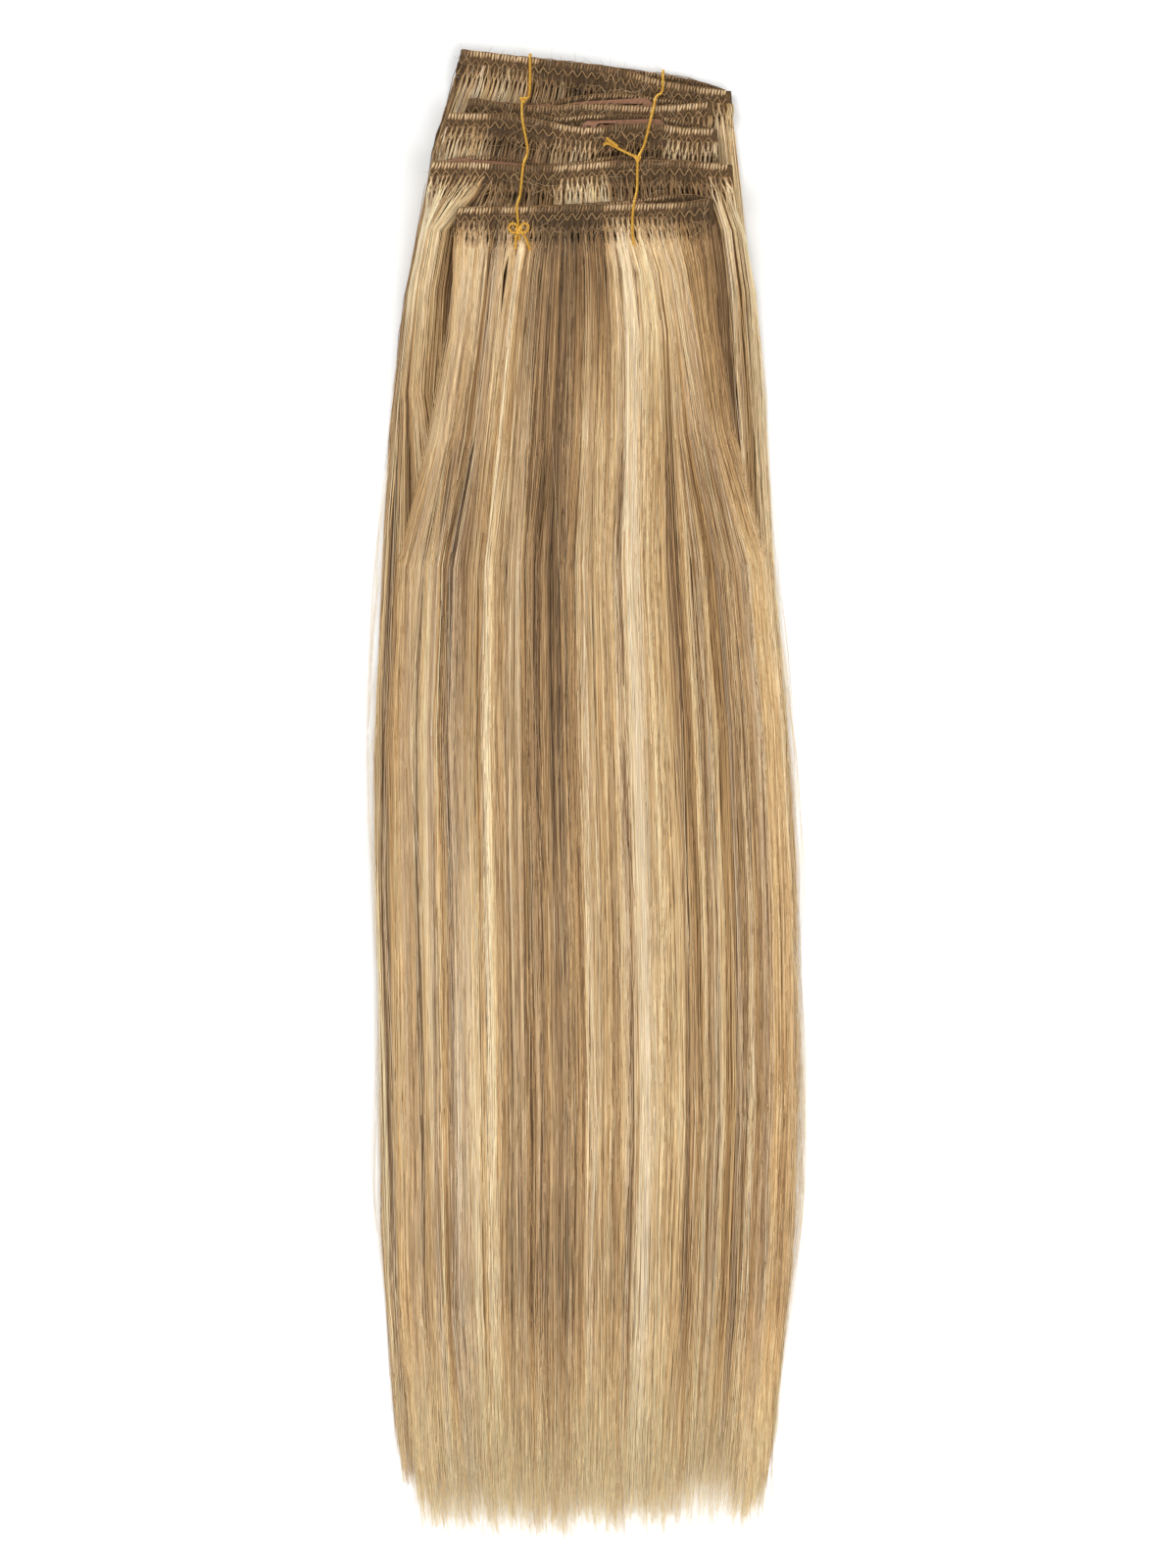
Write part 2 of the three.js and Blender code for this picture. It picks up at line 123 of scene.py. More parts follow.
@dataclass(frozen=True)
class Weft:
    """One folded weft: its band's place and edges, how far down its hair has spread out, and which
    of its clips have their wide end at the left.
    """

    number: int
    left: float
    right: float
    drop_left: float
    drop_right: float
    reach: float
    clips: tuple[float, float]
    edge: tuple[EdgeRow, ...]
    flow: tuple[FlowRow, ...]
    tones: tuple[ToneRow, ...]
    turned: tuple[bool, bool] = (False, False)


def rows(kind: type, *values: tuple[float, ...]) -> tuple:
    """Table rows of one kind from plain tuples.

    Args:
        kind: The dataclass of the rows.
        values: One tuple of the row's fields for each row.

    Returns:
        The rows in the same order.
    """
    return tuple(kind(*value) for value in values)


def column(table: Sequence, name: str) -> Array:
    """One field of every row of a table."""
    return np.array([getattr(row, name) for row in table])


WEFTS = (
    Weft(
        1, -0.586, 0.673, 0.0, 0.266, 30, (0.17, 0.53),
        rows(EdgeRow, (0, 0, 0), (0.25, 0.11, 0.12), (0.47, 0.25, 0.29), (0.62, 0.22, 0.36),
             (0.78, 0.04, 0.4), (0.92, 0.04, 0.36), (1, 0.12, 0.12)),
        rows(FlowRow, (0, 0, 0), (1, 1, 1)),
        rows(ToneRow, (0, 0.35), (0.03, 0.5), (0.07, 0.85), (0.26, 0.85), (0.31, 0.4), (0.46, 0.32),
             (0.6, 0.42), (0.72, 0.62), (0.88, 0.5), (0.93, 0.78), (1, 0.82)),
    ),
    Weft(
        2, -0.55, 0.582, 0.343, 0.343, 34, (0.2, 0.6),
        rows(EdgeRow, (0, 0.24, 0.25), (0.14, 0.04, 0.08), (0.31, -0.13, 0.04), (0.46, 0.02, 0.36),
             (0.6, -0.04, 0.46), (0.75, -0.11, 0.32), (0.9, -0.02, 0.15), (1, 0.06, 0.06)),
        rows(FlowRow, (0, 0.1, 0.1), (1, 0.9, 0.9)),
        rows(ToneRow, (0, 0.3), (0.2, 0.45), (0.45, 0.5), (0.7, 0.62), (0.9, 0.76), (1, 0.8)),
    ),
    Weft(
        3, -0.641, 0.605, 0.426, 0.509, 34, (0.2, 0.665),
        rows(EdgeRow, (0, 0.1, 0.1), (0.24, 0.19, 0.19), (0.41, -0.1, 0.16), (0.53, -0.24, 0.38),
             (0.7, 0.11, 0.44), (0.82, 0.08, 0.44), (0.92, -0.06, 0.24), (1, 0.05, 0.05)),
        rows(FlowRow, (0, 0, 0), (1, 0.9, 0.9)),
        rows(ToneRow, (0, 0.82), (0.12, 0.8), (0.17, 0.4), (0.38, 0.42), (0.43, 0.85), (0.56, 0.82),
             (0.6, 0.36), (0.8, 0.4), (0.85, 0.88), (1, 0.85)),
    ),
    Weft(
        4, -0.714, 0.673, 0.722, 0.734, 24, (0.19, 0.51),
        rows(EdgeRow, (0, 0.02, 0.04), (0.09, 0.03, 0.27), (0.19, 0.02, 0.34), (0.29, -0.09, 0.16),
             (0.42, -0.1, -0.04), (0.6, 0.11, 0.36), (0.8, 0.17, 0.26), (1, 0.02, 0.02)),
        rows(FlowRow, (0, 0.01, 0), (0.19, 0.065, 0.17), (0.215, 0.19, 0.215), (0.5, 0.5, 0.5),
             (1, 1, 1)),
        rows(ToneRow, (0, 0.86), (0.19, 0.86), (0.2, 0.4), (0.4, 0.4), (0.44, 0.88), (0.56, 0.88),
             (0.62, 0.38), (0.88, 0.44), (0.94, 0.84), (1, 0.88)),
        turned=(True, False),
    ),
    Weft(
        5, -0.596, 0.582, 1.0, 0.97, 34, (0.22, 0.6),
        rows(EdgeRow, (0, -0.02, -0.02), (0.23, -0.03, 0.05), (0.5, -0.02, 0.06), (0.7, 0, 0.19),
             (0.85, -0.01, 0.37), (0.95, 0.05, 0.38), (1, 0.15, 0.15)),
        rows(FlowRow, (0, 0.14, 0.03), (0.3, 0.33, 0.3), (0.7, 0.71, 0.7), (0.745, 0.75, 0.765),
             (0.8, 0.79, 0.9), (0.87, 0.83, 0.955), (1, 0.885, 0.985)),
        rows(ToneRow, (0, 0.6), (0.05, 0.74), (0.11, 0.7), (0.15, 0.42), (0.2, 0.74), (0.28, 0.7),
             (0.33, 0.3), (0.55, 0.27), (0.6, 0.7), (0.72, 0.77), (0.85, 0.66), (0.92, 0.42),
             (1, 0.36)),
    ),
)

SIDES = rows(
    SideRow, (0, -0.63, 0.655), (0.029, -0.665, 0.664), (0.045, -0.696, 0.672),
    (0.061, -0.724, 0.68), (0.079, -0.738, 0.688), (0.102, -0.752, 0.702), (0.127, -0.788, 0.734),
    (0.1435, -0.812, 0.752), (0.167, -0.845, 0.781), (0.206, -0.878, 0.802), (0.26, -0.915, 0.832),
    (0.36, -0.948, 0.862), (0.48, -0.985, 0.938), (0.55, -0.98, 0.962), (0.63, -0.958, 0.966),
    (0.71, -0.953, 0.976), (0.785, -0.96, 0.97), (0.836, -0.935, 0.935), (0.88, -0.916, 0.91),
    (0.92, -0.908, 0.886), (0.96, -0.865, 0.852), (1.0, -0.8, 0.805),
)

STREAKS = rows(
    StreakRow, (0, 0.45, 0.62), (0.03, 0.42, 0.66), (0.06, 0.58, 0.56), (0.1, 0.74, 0.6),
    (0.15, 0.64, 0.66), (0.19, 0.42, 0.74), (0.23, 0.5, 0.88), (0.28, 0.74, 0.8), (0.31, 0.6, 0.54),
    (0.36, 0.55, 0.44), (0.4, 0.27, 0.46), (0.45, 0.2, 0.46), (0.48, 0.38, 0.56), (0.52, 0.72, 0.74),
    (0.58, 0.66, 0.64), (0.63, 0.72, 0.66), (0.68, 0.6, 0.68), (0.71, 0.5, 0.6), (0.76, 0.48, 0.56),
    (0.8, 0.52, 0.68), (0.85, 0.47, 0.58), (0.9, 0.46, 0.5), (0.95, 0.64, 0.56), (1, 0.86, 0.62),
)


@dataclass(frozen=True)
class Bundle:
    """Sizes that the whole bundle shares, in millimetres."""

    spread: float = 162.8
    length: float = 560.0
    stair: float = 62.5
    tip_step: float = 13.5
    band_depth: float = 9.6
    band_wall: float = 1.1
    fold_gap: float = 1.6
    lift: float = 1.7
    clear: float = 0.3

    @property
    def top(self) -> float:
        """Y of the rear band's higher corner."""
        return self.length / 2

    @property
    def band_height(self) -> float:
        """Height of a folded band over both layers."""
        return 2 * self.band_wall + self.fold_gap

    def band_z(self, weft: Weft) -> float:
        """Z of the underside of a weft's band."""
        return self.lift + (weft.number - 1) * (self.band_height + self.clear)

    def layer_z(self, weft: Weft, layer: Layer) -> float:
        """Z of the upper face of one layer of a band."""
        over = self.band_height if layer is Layer.FRONT else self.band_wall
        return self.band_z(weft) + over

    def band_x(self, weft: Weft, along: Array) -> Array:
        """X of places along a band's flat layers."""
        half = self.spread / 2
        return half * weft.left + along * (half * (weft.right - weft.left) - self.band_height / 2)

    def hung_x(self, weft: Weft, along: Array, depth: Array) -> Array:
        """X of places on a band, whose ends lean out a little further down."""
        ends = np.exp(-along / 0.06) - 0.35 * np.exp((along - 1) / 0.05)
        return self.band_x(weft, along) - 0.24 * np.clip(depth - 1, 0, 14) * ends

    def edge_y(self, weft: Weft, along: Array, layer: Layer) -> Array:
        """Y of a layer's bound edge at places along it, eased between the table's rows."""
        table = column(weft.edge, "along")
        rise = column(weft.edge, layer.value)
        reach = 0.05
        taps = np.linspace(-reach, reach, 7)
        spots = np.clip(np.asarray(along)[..., None] + taps, 0, 1)
        eased = np.interp(spots, table, rise).mean(axis=-1)
        line = self.top - self.stair * (weft.drop_left + (weft.drop_right - weft.drop_left) * along)
        return line + self.band_depth * eased

    def across(self, share: Array, y: Array) -> Array:
        """X of places given as shares of the hair's width at Y."""
        down = (self.top - y) / self.length
        left = np.interp(down, column(SIDES, "down"), column(SIDES, "left"))
        right = np.interp(down, column(SIDES, "down"), column(SIDES, "right"))
        return self.spread / 2 * (left + share * (right - left))

    def tip_y(self, weft: Weft) -> float:
        """Y of a weft's longest tip."""
        return -self.top + (len(WEFTS) - weft.number) * self.tip_step


BUNDLE = Bundle()


def eased(t: Array) -> Array:
    """Values from 0 to 1 with a soft start and end."""
    t = np.clip(t, 0, 1)
    return t * t * (3 - 2 * t)


class HeightField:
    """Upper face of a hair node, read from above on an even grid and evened out across."""

    step_x = 1.5
    step_y = 4.0

    def __init__(self, node: bpy.types.Object, below: HeightField | None) -> None:
        """Reads the node.

        Args:
            node: The CAD hair node.
            below: The field of the hair that it lies on, used where the node isn't.
        """
        self.xs = np.arange(-96, 96 + self.step_x, self.step_x)
        self.ys = np.arange(-296, 288 + self.step_y, self.step_y)
        tree = BVHTree.FromObject(node, bpy.context.evaluated_depsgraph_get())
        down = Vector((0, 0, -1))
        grid = np.zeros((len(self.ys), len(self.xs)))
        for r, y in enumerate(self.ys):
            for c, x in enumerate(self.xs):
                hit = tree.ray_cast(Vector((x * MM, y * MM, 0.1)), down)[0]
                grid[r, c] = hit.z / MM if hit else np.nan
        self.own = ~np.isnan(grid)
        rest = below.grid if below else np.zeros_like(grid)
        grid = np.where(self.own, grid, rest)
        for _ in range(2):
            grid[:, 1:-1] = (grid[:, :-2] + 2 * grid[:, 1:-1] + grid[:, 2:]) / 4
        self.grid = grid

    def at(self, x: Array, y: Array) -> Array:
        """Height at places, in millimetres.

        Args:
            x: X of the places.
            y: Y of the places.

        Returns:
            The heights, in an array of the same shape.
        """
        fx = np.clip((x - self.xs[0]) / self.step_x, 0, len(self.xs) - 1.001)
        fy = np.clip((y - self.ys[0]) / self.step_y, 0, len(self.ys) - 1.001)
        cx, cy = fx.astype(int), fy.astype(int)
        tx, ty = fx - cx, fy - cy
        low = self.grid[cy, cx] * (1 - tx) + self.grid[cy, cx + 1] * tx
        high = self.grid[cy + 1, cx] * (1 - tx) + self.grid[cy + 1, cx + 1] * tx
        return low * (1 - ty) + high * ty


# Node helpers and finishes


def put(tree: bpy.types.NodeTree, kind: str, **settings: object) -> bpy.types.Node:
    """Adds a node to a tree.

    Args:
        tree: The node tree.
        kind: The node's type name.
        settings: Properties of the node, by name.

    Returns:
        The new node.
    """
    node = tree.nodes.new(kind)
    for name, value in settings.items():
        setattr(node, name, value)
    return node


def wire(tree: bpy.types.NodeTree, *links: tuple[bpy.types.Node, object, bpy.types.Node, object]):
    """Joins nodes of a tree.

    Args:
        tree: The node tree.
        links: For each link the node it leaves, its output, the node it enters and its input.
    """
    for start, output, end, entry in links:
        tree.links.new(start.outputs[output], end.inputs[entry])


def new_paint(name: str) -> tuple[bpy.types.Material, bpy.types.Node]:
    """A new node material and its shader."""
    made = bpy.data.materials.new(name)
    made.use_nodes = True
    return made, made.node_tree.nodes["Principled BSDF"]


def shader_group(name: str, inputs: dict[str, tuple[str, object]], outputs: dict[str, str]):
    """Starts a shader node group with named sockets.

    Args:
        name: The group's name.
        inputs: Socket type and default value by input name.
        outputs: Socket type by output name.

    Returns:
        The group, its input node and its output node.
    """
    group = bpy.data.node_groups.new(name, "ShaderNodeTree")
    for label, (kind, value) in inputs.items():
        socket = group.interface.new_socket(label, in_out="INPUT", socket_type=kind)
        socket.default_value = value
    for label, kind in outputs.items():
        group.interface.new_socket(label, in_out="OUTPUT", socket_type=kind)
    return group, put(group, "NodeGroupInput"), put(group, "NodeGroupOutput")


class FibreEffect:
    """Fine lengthwise fibres: a mask that lightens and darkens along the hair, and its relief."""

    name = "fibre_effect"

    @classmethod
    def group(cls) -> bpy.types.NodeTree:
        """The shared node group, built on first use."""
        if cls.name in bpy.data.node_groups:
            return bpy.data.node_groups[cls.name]
        group, inside, out = shader_group(
            cls.name,
            {
                "Fibres across": ("NodeSocketFloat", 900.0),
                "Fibres along": ("NodeSocketFloat", 25.0),
                "Contrast": ("NodeSocketFloat", 0.5),
            },
            {"Shade": "NodeSocketFloat", "Height": "NodeSocketFloat"},
        )
        place = put(group, "ShaderNodeTexCoord")
        scale = put(group, "ShaderNodeCombineXYZ")
        stretch = put(group, "ShaderNodeVectorMath", operation="MULTIPLY")
        noise = put(group, "ShaderNodeTexNoise")
        noise.inputs["Scale"].default_value = 1.0
        noise.inputs["Detail"].default_value = 3.0
        shade = put(group, "ShaderNodeMapRange")
        low = put(group, "ShaderNodeMath", operation="SUBTRACT")
        low.inputs[0].default_value = 1.0
        high = put(group, "ShaderNodeMath", operation="ADD")
        high.inputs[0].default_value = 1.0
        wire(group,
             (inside, "Fibres across", scale, "X"),
             (inside, "Fibres along", scale, "Y"),
             (inside, "Fibres across", scale, "Z"),
             (place, "Object", stretch, 0),
             (scale, "Vector", stretch, 1),
             (stretch, "Vector", noise, "Vector"),
             (inside, "Contrast", low, 1),
             (inside, "Contrast", high, 1),
             (noise, "Fac", shade, "Value"))
        shade.inputs["From Min"].default_value = 0.3
        shade.inputs["From Max"].default_value = 0.7
        wire(group,
             (low, "Value", shade, "To Min"),
             (high, "Value", shade, "To Max"),
             (shade, "Result", out, "Shade"),
             (noise, "Fac", out, "Height"))
        return group


@dataclass(frozen=True)
class HairShades:
    """Hair colours from dark to pale, in linear light."""

    dark: Colour
    brown: Colour
    golden: Colour
    blonde: Colour
    pale: Colour

    def ramp(self, tree: bpy.types.NodeTree) -> bpy.types.Node:
        """A colour ramp through the shades, in a node tree."""
        node = put(tree, "ShaderNodeValToRGB")
        stops = ((0.0, self.dark), (0.25, self.brown), (0.5, self.golden), (0.75, self.blonde),
                 (1.0, self.pale))
        while len(node.color_ramp.elements) < len(stops):
            node.color_ramp.elements.new(0.5)
        for stop, (at, colour) in zip(node.color_ramp.elements, stops):
            stop.position = at
            stop.color = (*colour, 1.0)
        return node


WARM = HairShades((0.06, 0.033, 0.014), (0.32, 0.172, 0.066), (0.62, 0.38, 0.16),
                  (0.82, 0.585, 0.29), (1.0, 0.85, 0.53))
ASHEN = HairShades((0.06, 0.04, 0.022), (0.28, 0.17, 0.086), (0.52, 0.355, 0.205),
                   (0.72, 0.55, 0.355), (0.96, 0.84, 0.65))


@dataclass(frozen=True)
class HairFinish:
    """Hair coloured by each point's tone and warmth, which hold the hair's own colour together with
    the light and shade painted into it.
    """

    name: str
    warm: HairShades = WARM
    ashen: HairShades = ASHEN
    roughness: float = 0.5
    gloss: float = 0.3
    across: float = 1500.0
    along: float = 18.0
    contrast: float = 0.14
    relief: float = 0.0

    def material(self) -> bpy.types.Material:
        """The finish as a node material."""
        made, shader = new_paint(self.name)
        tree = made.node_tree
        shader.inputs["Roughness"].default_value = self.roughness
        shader.inputs["Specular IOR Level"].default_value = self.gloss
        tone = put(tree, "ShaderNodeAttribute", attribute_name="tone")
        warmth = put(tree, "ShaderNodeAttribute", attribute_name="warmth")
        warm, ashen = self.warm.ramp(tree), self.ashen.ramp(tree)
        blend = put(tree, "ShaderNodeMix", data_type="RGBA")
        fibres = put(tree, "ShaderNodeGroup", node_tree=FibreEffect.group())
        fibres.inputs["Fibres across"].default_value = self.across
        fibres.inputs["Fibres along"].default_value = self.along
        fibres.inputs["Contrast"].default_value = self.contrast
        shade = put(tree, "ShaderNodeVectorMath", operation="SCALE")
        wire(tree,
             (tone, "Fac", warm, "Fac"),
             (tone, "Fac", ashen, "Fac"),
             (warmth, "Fac", blend, "Factor"),
             (ashen, "Color", blend, "A"),
             (warm, "Color", blend, "B"),
             (blend, "Result", shade, 0),
             (fibres, "Shade", shade, "Scale"),
             (shade, "Vector", shader, "Base Color"))
        if self.relief:
            bump = put(tree, "ShaderNodeBump")
            bump.inputs["Strength"].default_value = self.relief
            bump.inputs["Distance"].default_value = 0.3 * MM
            wire(tree,
                 (fibres, "Height", bump, "Height"),
                 (bump, "Normal", shader, "Normal"))
        return made


@dataclass(frozen=True)
class MetalFinish:
    """Metal with a fine grain, bare like the gold thread or under a coat of paint; the grain mixes
    its colour with a darker shade at random, and on the gold thread this light and dark is painted
    glints and crease shade of the twist.
    """

    name: str
    colour: Colour
    shade: Colour
    metallic: float
    roughness: float
    coat: float
    grain_and_glint_scale: float
    relief: float

    def material(self) -> bpy.types.Material:
        """The finish as a node material."""
        made, shader = new_paint(self.name)
        tree = made.node_tree
        shader.inputs["Metallic"].default_value = self.metallic
        shader.inputs["Coat Weight"].default_value = self.coat
        shader.inputs["Coat Roughness"].default_value = 0.25
        place = put(tree, "ShaderNodeTexCoord")
        noise = put(tree, "ShaderNodeTexNoise")
        noise.inputs["Scale"].default_value = self.grain_and_glint_scale
        noise.inputs["Detail"].default_value = 4.0
        ramp = put(tree, "ShaderNodeValToRGB")
        ramp.color_ramp.elements[0].position = 0.34
        ramp.color_ramp.elements[0].color = (*self.shade, 1.0)
        ramp.color_ramp.elements[1].position = 0.6
        ramp.color_ramp.elements[1].color = (*self.colour, 1.0)
        rough = put(tree, "ShaderNodeMapRange")
        rough.inputs["To Min"].default_value = self.roughness + 0.12
        rough.inputs["To Max"].default_value = self.roughness - 0.08
        bump = put(tree, "ShaderNodeBump")
        bump.inputs["Strength"].default_value = self.relief
        bump.inputs["Distance"].default_value = 0.1 * MM
        wire(tree,
             (place, "Object", noise, "Vector"),
             (noise, "Fac", ramp, "Fac"),
             (noise, "Fac", rough, "Value"),
             (noise, "Fac", bump, "Height"),
             (ramp, "Color", shader, "Base Color"),
             (rough, "Result", shader, "Roughness"),
             (bump, "Normal", shader, "Normal"))
        return made


HAIR = HairFinish("hair_strands")
HAIR_BODY = HairFinish("hair_body", across=2600.0, along=30.0, contrast=0.45, relief=0.6,
                       roughness=0.65, gloss=0.15)
BAND = HairFinish("band_weave", across=1900.0, along=420.0, contrast=0.5, relief=0.9, roughness=0.8,
                  gloss=0.1)
THREAD = HairFinish("sewing_thread", across=1500.0, along=1500.0, contrast=0.25, roughness=0.6,
                    gloss=0.2)
CLIP = MetalFinish("clip_paint", (0.28, 0.12, 0.056), (0.19, 0.08, 0.038), 0.1, 0.4, 0.15, 700.0,
                   0.15)
# The gold thread's light and dark grain is painted glints and crease shade standing for its twisted
# plies.
GOLD = MetalFinish("gold_thread", (1.0, 0.66, 0.12), (0.6, 0.24, 0.01), 0.35, 0.27, 0.0, 2600.0,
                   0.6)


# Strands and other tubes


@dataclass
class Lines:
    """Lines of equally many points that become closed tubes.

    points is (lines, points, 3) in millimetres, girth the tube's radius at each point in
    millimetres, tone how pale each point is, and warmth how golden each point or each whole line is.
    """

    points: Array
    girth: Array
    tone: Array
    warmth: Array

    @classmethod
    def joined(cls, parts: Sequence[Lines]) -> Lines:
        """Several sets with equally many points to a line, as one."""
        return cls(*(np.concatenate([getattr(part, name) for part in parts])
                     for name in ("points", "girth", "tone", "warmth")))


def end_tree(tree: bpy.types.NodeTree, tube: bpy.types.Node, inside: bpy.types.Node,
             out: bpy.types.Node) -> None:
    """Smooths, realizes and paints a tree's tubes, and sends them out.

    Args:
        tree: The tree.
        tube: The node that makes the tubes.
        inside: The tree's input node, with a material.
        out: Its output node.
    """
    shade = put(tree, "GeometryNodeSetShadeSmooth")
    real = put(tree, "GeometryNodeRealizeInstances")
    paint = put(tree, "GeometryNodeSetMaterial")
    wire(tree,
         (tube, "Mesh", shade, "Geometry"),
         (shade, "Geometry", real, "Geometry"),
         (real, "Geometry", paint, "Geometry"),
         (inside, "Material", paint, "Material"),
         (paint, "Geometry", out, "Geometry"))


class TubeTree:
    """Geometry Nodes tree that gives every line of a mesh a round, closed, shaded tube."""

    name = "closed_tubes"

    @classmethod
    def tree(cls) -> bpy.types.NodeTree:
        """The tree, built on first use."""
        if cls.name in bpy.data.node_groups:
            return bpy.data.node_groups[cls.name]
        tree = bpy.data.node_groups.new(cls.name, "GeometryNodeTree")
        face = tree.interface
        face.new_socket("Geometry", in_out="INPUT", socket_type="NodeSocketGeometry")
        sides = face.new_socket("Sides", in_out="INPUT", socket_type="NodeSocketInt")
        sides.default_value = 3
        face.new_socket("Material", in_out="INPUT", socket_type="NodeSocketMaterial")
        face.new_socket("Geometry", in_out="OUTPUT", socket_type="NodeSocketGeometry")
        inside, out = put(tree, "NodeGroupInput"), put(tree, "NodeGroupOutput")
        curve = put(tree, "GeometryNodeMeshToCurve")
        circle = put(tree, "GeometryNodeCurvePrimitiveCircle")
        circle.inputs["Radius"].default_value = 1.0
        girth = put(tree, "GeometryNodeInputNamedAttribute", data_type="FLOAT")
        girth.inputs["Name"].default_value = "girth"
        tube = put(tree, "GeometryNodeCurveToMesh")
        tube.inputs["Fill Caps"].default_value = True
        wire(tree,
             (inside, "Geometry", curve, "Mesh"),
             (inside, "Sides", circle, "Resolution"),
             (curve, "Curve", tube, "Curve"),
             (circle, "Curve", tube, "Profile Curve"),
             (girth, "Attribute", tube, "Scale"))
        end_tree(tree, tube, inside, out)
        return tree


def bake_nodes(obj: bpy.types.Object, tree: bpy.types.NodeTree, values: dict[str, object]) -> None:
    """Runs a Geometry Nodes tree on an object and keeps the result as its plain mesh.

    Args:
        obj: The mesh object.
        tree: The tree.
        values: Values of the tree's inputs, by socket name.
    """
    modifier = obj.modifiers.new("shape", "NODES")
    modifier.node_group = tree
    for item in tree.interface.items_tree:
        if item.item_type == "SOCKET" and item.in_out == "INPUT" and item.name in values:
            modifier[item.identifier] = values[item.name]
    graph = bpy.context.evaluated_depsgraph_get()
    mesh = bpy.data.meshes.new_from_object(obj.evaluated_get(graph))
    obj.modifiers.remove(modifier)
    old = obj.data
    obj.data = mesh
    bpy.data.meshes.remove(old)
    mesh.name = obj.name


def linked(name: str, mesh: bpy.types.Mesh) -> bpy.types.Object:
    """A new object of a mesh, in the scene."""
    obj = bpy.data.objects.new(name, mesh)
    bpy.context.scene.collection.objects.link(obj)
    return obj


def settle(obj: bpy.types.Object, slot: str, *nodes: str) -> bpy.types.Object:
    """Makes a finished piece ride on the bundle.

    Args:
        obj: The piece.
        slot: Name of its material slot; not used.
        nodes: CAD nodes that it stands for.

    Returns:
        The piece.
    """
    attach(obj, BODY)
    if nodes:
        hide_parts(*nodes)
    return obj


def tubes(name: str, lines: Lines, material: bpy.types.Material, sides: int = 3) -> bpy.types.Object:
    """Closed tubes along lines, with a bake map that gives each tube a strip of its own.

    Args:
        name: Name of the object.
        lines: The lines.
        material: Their material.
        sides: Sides of each tube.

    Returns:
        The object, with its place in its mesh.
    """
    count, length = lines.girth.shape
    mesh = bpy.data.meshes.new(name)
    starts = np.arange(count)[:, None] * length + np.arange(length - 1)[None, :]
    mesh.vertices.add(count * length)
    mesh.edges.add(count * (length - 1))
    mesh.vertices.foreach_set("co", (lines.points * MM).astype(np.float32).ravel())
    mesh.edges.foreach_set("vertices", np.stack([starts, starts + 1], -1).astype(np.int32).ravel())
    write_floats(mesh, {
        "girth": lines.girth * MM,
        "tone": lines.tone,
        "warmth": lines.warmth.reshape(count, -1) + np.zeros((1, length)),
        "strip": np.repeat(np.arange(count), length),
        "ring": np.tile(np.arange(length), count),
    })
    obj = linked(name, mesh)
    bake_nodes(obj, TubeTree.tree(), {"Sides": sides, "Material": material})
    strip_map(obj.data, count, length, sides)
    return obj


def read_floats(mesh: bpy.types.Mesh, name: str) -> Array:
    """Values of one float attribute of a mesh's points."""
    values = np.zeros(len(mesh.vertices), np.float32)
    mesh.attributes[name].data.foreach_get("value", values)
    return values


def write_floats(mesh: bpy.types.Mesh, values: dict[str, Array]) -> None:
    """Gives a mesh's points float attributes, by name."""
    for name, numbers in values.items():
        attribute = mesh.attributes.new(name, "FLOAT", "POINT")
        attribute.data.foreach_set("value", np.asarray(numbers, np.float32).ravel())


def corner_points(mesh: bpy.types.Mesh) -> Array:
    """The point of each corner of a mesh's faces."""
    corners = np.zeros(len(mesh.loops), np.int32)
    mesh.loops.foreach_get("vertex_index", corners)
    return corners


def write_bake_map(mesh: bpy.types.Mesh, u: Array, v: Array) -> None:
    """Gives a mesh its bake map from the place of each corner."""
    layer = mesh.uv_layers.new(name=BAKE_MAP)
    layer.data.foreach_set("uv", np.stack([u, v], -1).astype(np.float32).ravel())


STRIPS_A_LANE = 8
STRIP_GAP = 0.06
LANE_GAP = 0.04
CAP_INSET = 0.4


def face_range(owner: Array, values: Array) -> tuple[Array, Array]:
    """Lowest and highest value of each face.

    Args:
        owner: The face of each corner.
        values: The value of each corner.

    Returns:
        The lowest and the highest values, with one of each for every face.
    """
    low = np.full(owner[-1] + 1, np.inf)
    high = np.full(owner[-1] + 1, -np.inf)
    np.minimum.at(low, owner, values)
    np.maximum.at(high, owner, values)
    return low, high


def strip_map(mesh: bpy.types.Mesh, count: int, length: int, sides: int) -> None:
    """Lays the tubes out side by side in the bake map, in several rows.

    Args:
        mesh: Mesh of the tubes.
        count: Number of tubes.
        length: Points along each tube.
        sides: Sides of each tube.
    """
    lanes = max(1, round(math.sqrt(count / STRIPS_A_LANE)))
    columns = math.ceil(count / lanes)
    strip, ring = read_floats(mesh, "strip"), read_floats(mesh, "ring")
    corners = corner_points(mesh)
    first = np.zeros(len(mesh.polygons), np.int32)
    total = np.zeros(len(mesh.polygons), np.int32)
    mesh.polygons.foreach_get("loop_start", first)
    mesh.polygons.foreach_get("loop_total", total)
    owner = np.repeat(np.arange(len(first)), total)
    side = (corners % sides).astype(float)
    along = ring[corners]
    low, high = face_range(owner, side)
    near, far = face_range(owner, along)
    cap = (near == far)[owner]
    wraps = ((high - low) == sides - 1)[owner] & ~cap
    side = np.where(wraps & (side == 0), sides, side)
    inward = np.where(along > 0, -CAP_INSET, CAP_INSET)
    along = np.where(cap & (side % 2 == 1), along + inward, along)
    lane, place = np.divmod(strip[corners], columns)
    u = (place + STRIP_GAP + (1 - 2 * STRIP_GAP) * side / sides) / columns
    v = (lane + LANE_GAP + (1 - 2 * LANE_GAP) * along / (length - 1)) / lanes
    write_bake_map(mesh, u, v)
    for label in ("strip", "ring", "girth"):
        mesh.attributes.remove(mesh.attributes[label])


SHELL_WARMTH = 0.7
SHEET_WIDE = 0.48
SHEET_TALL = 0.94
SHEET_STARTS = (0.005, 0.515)


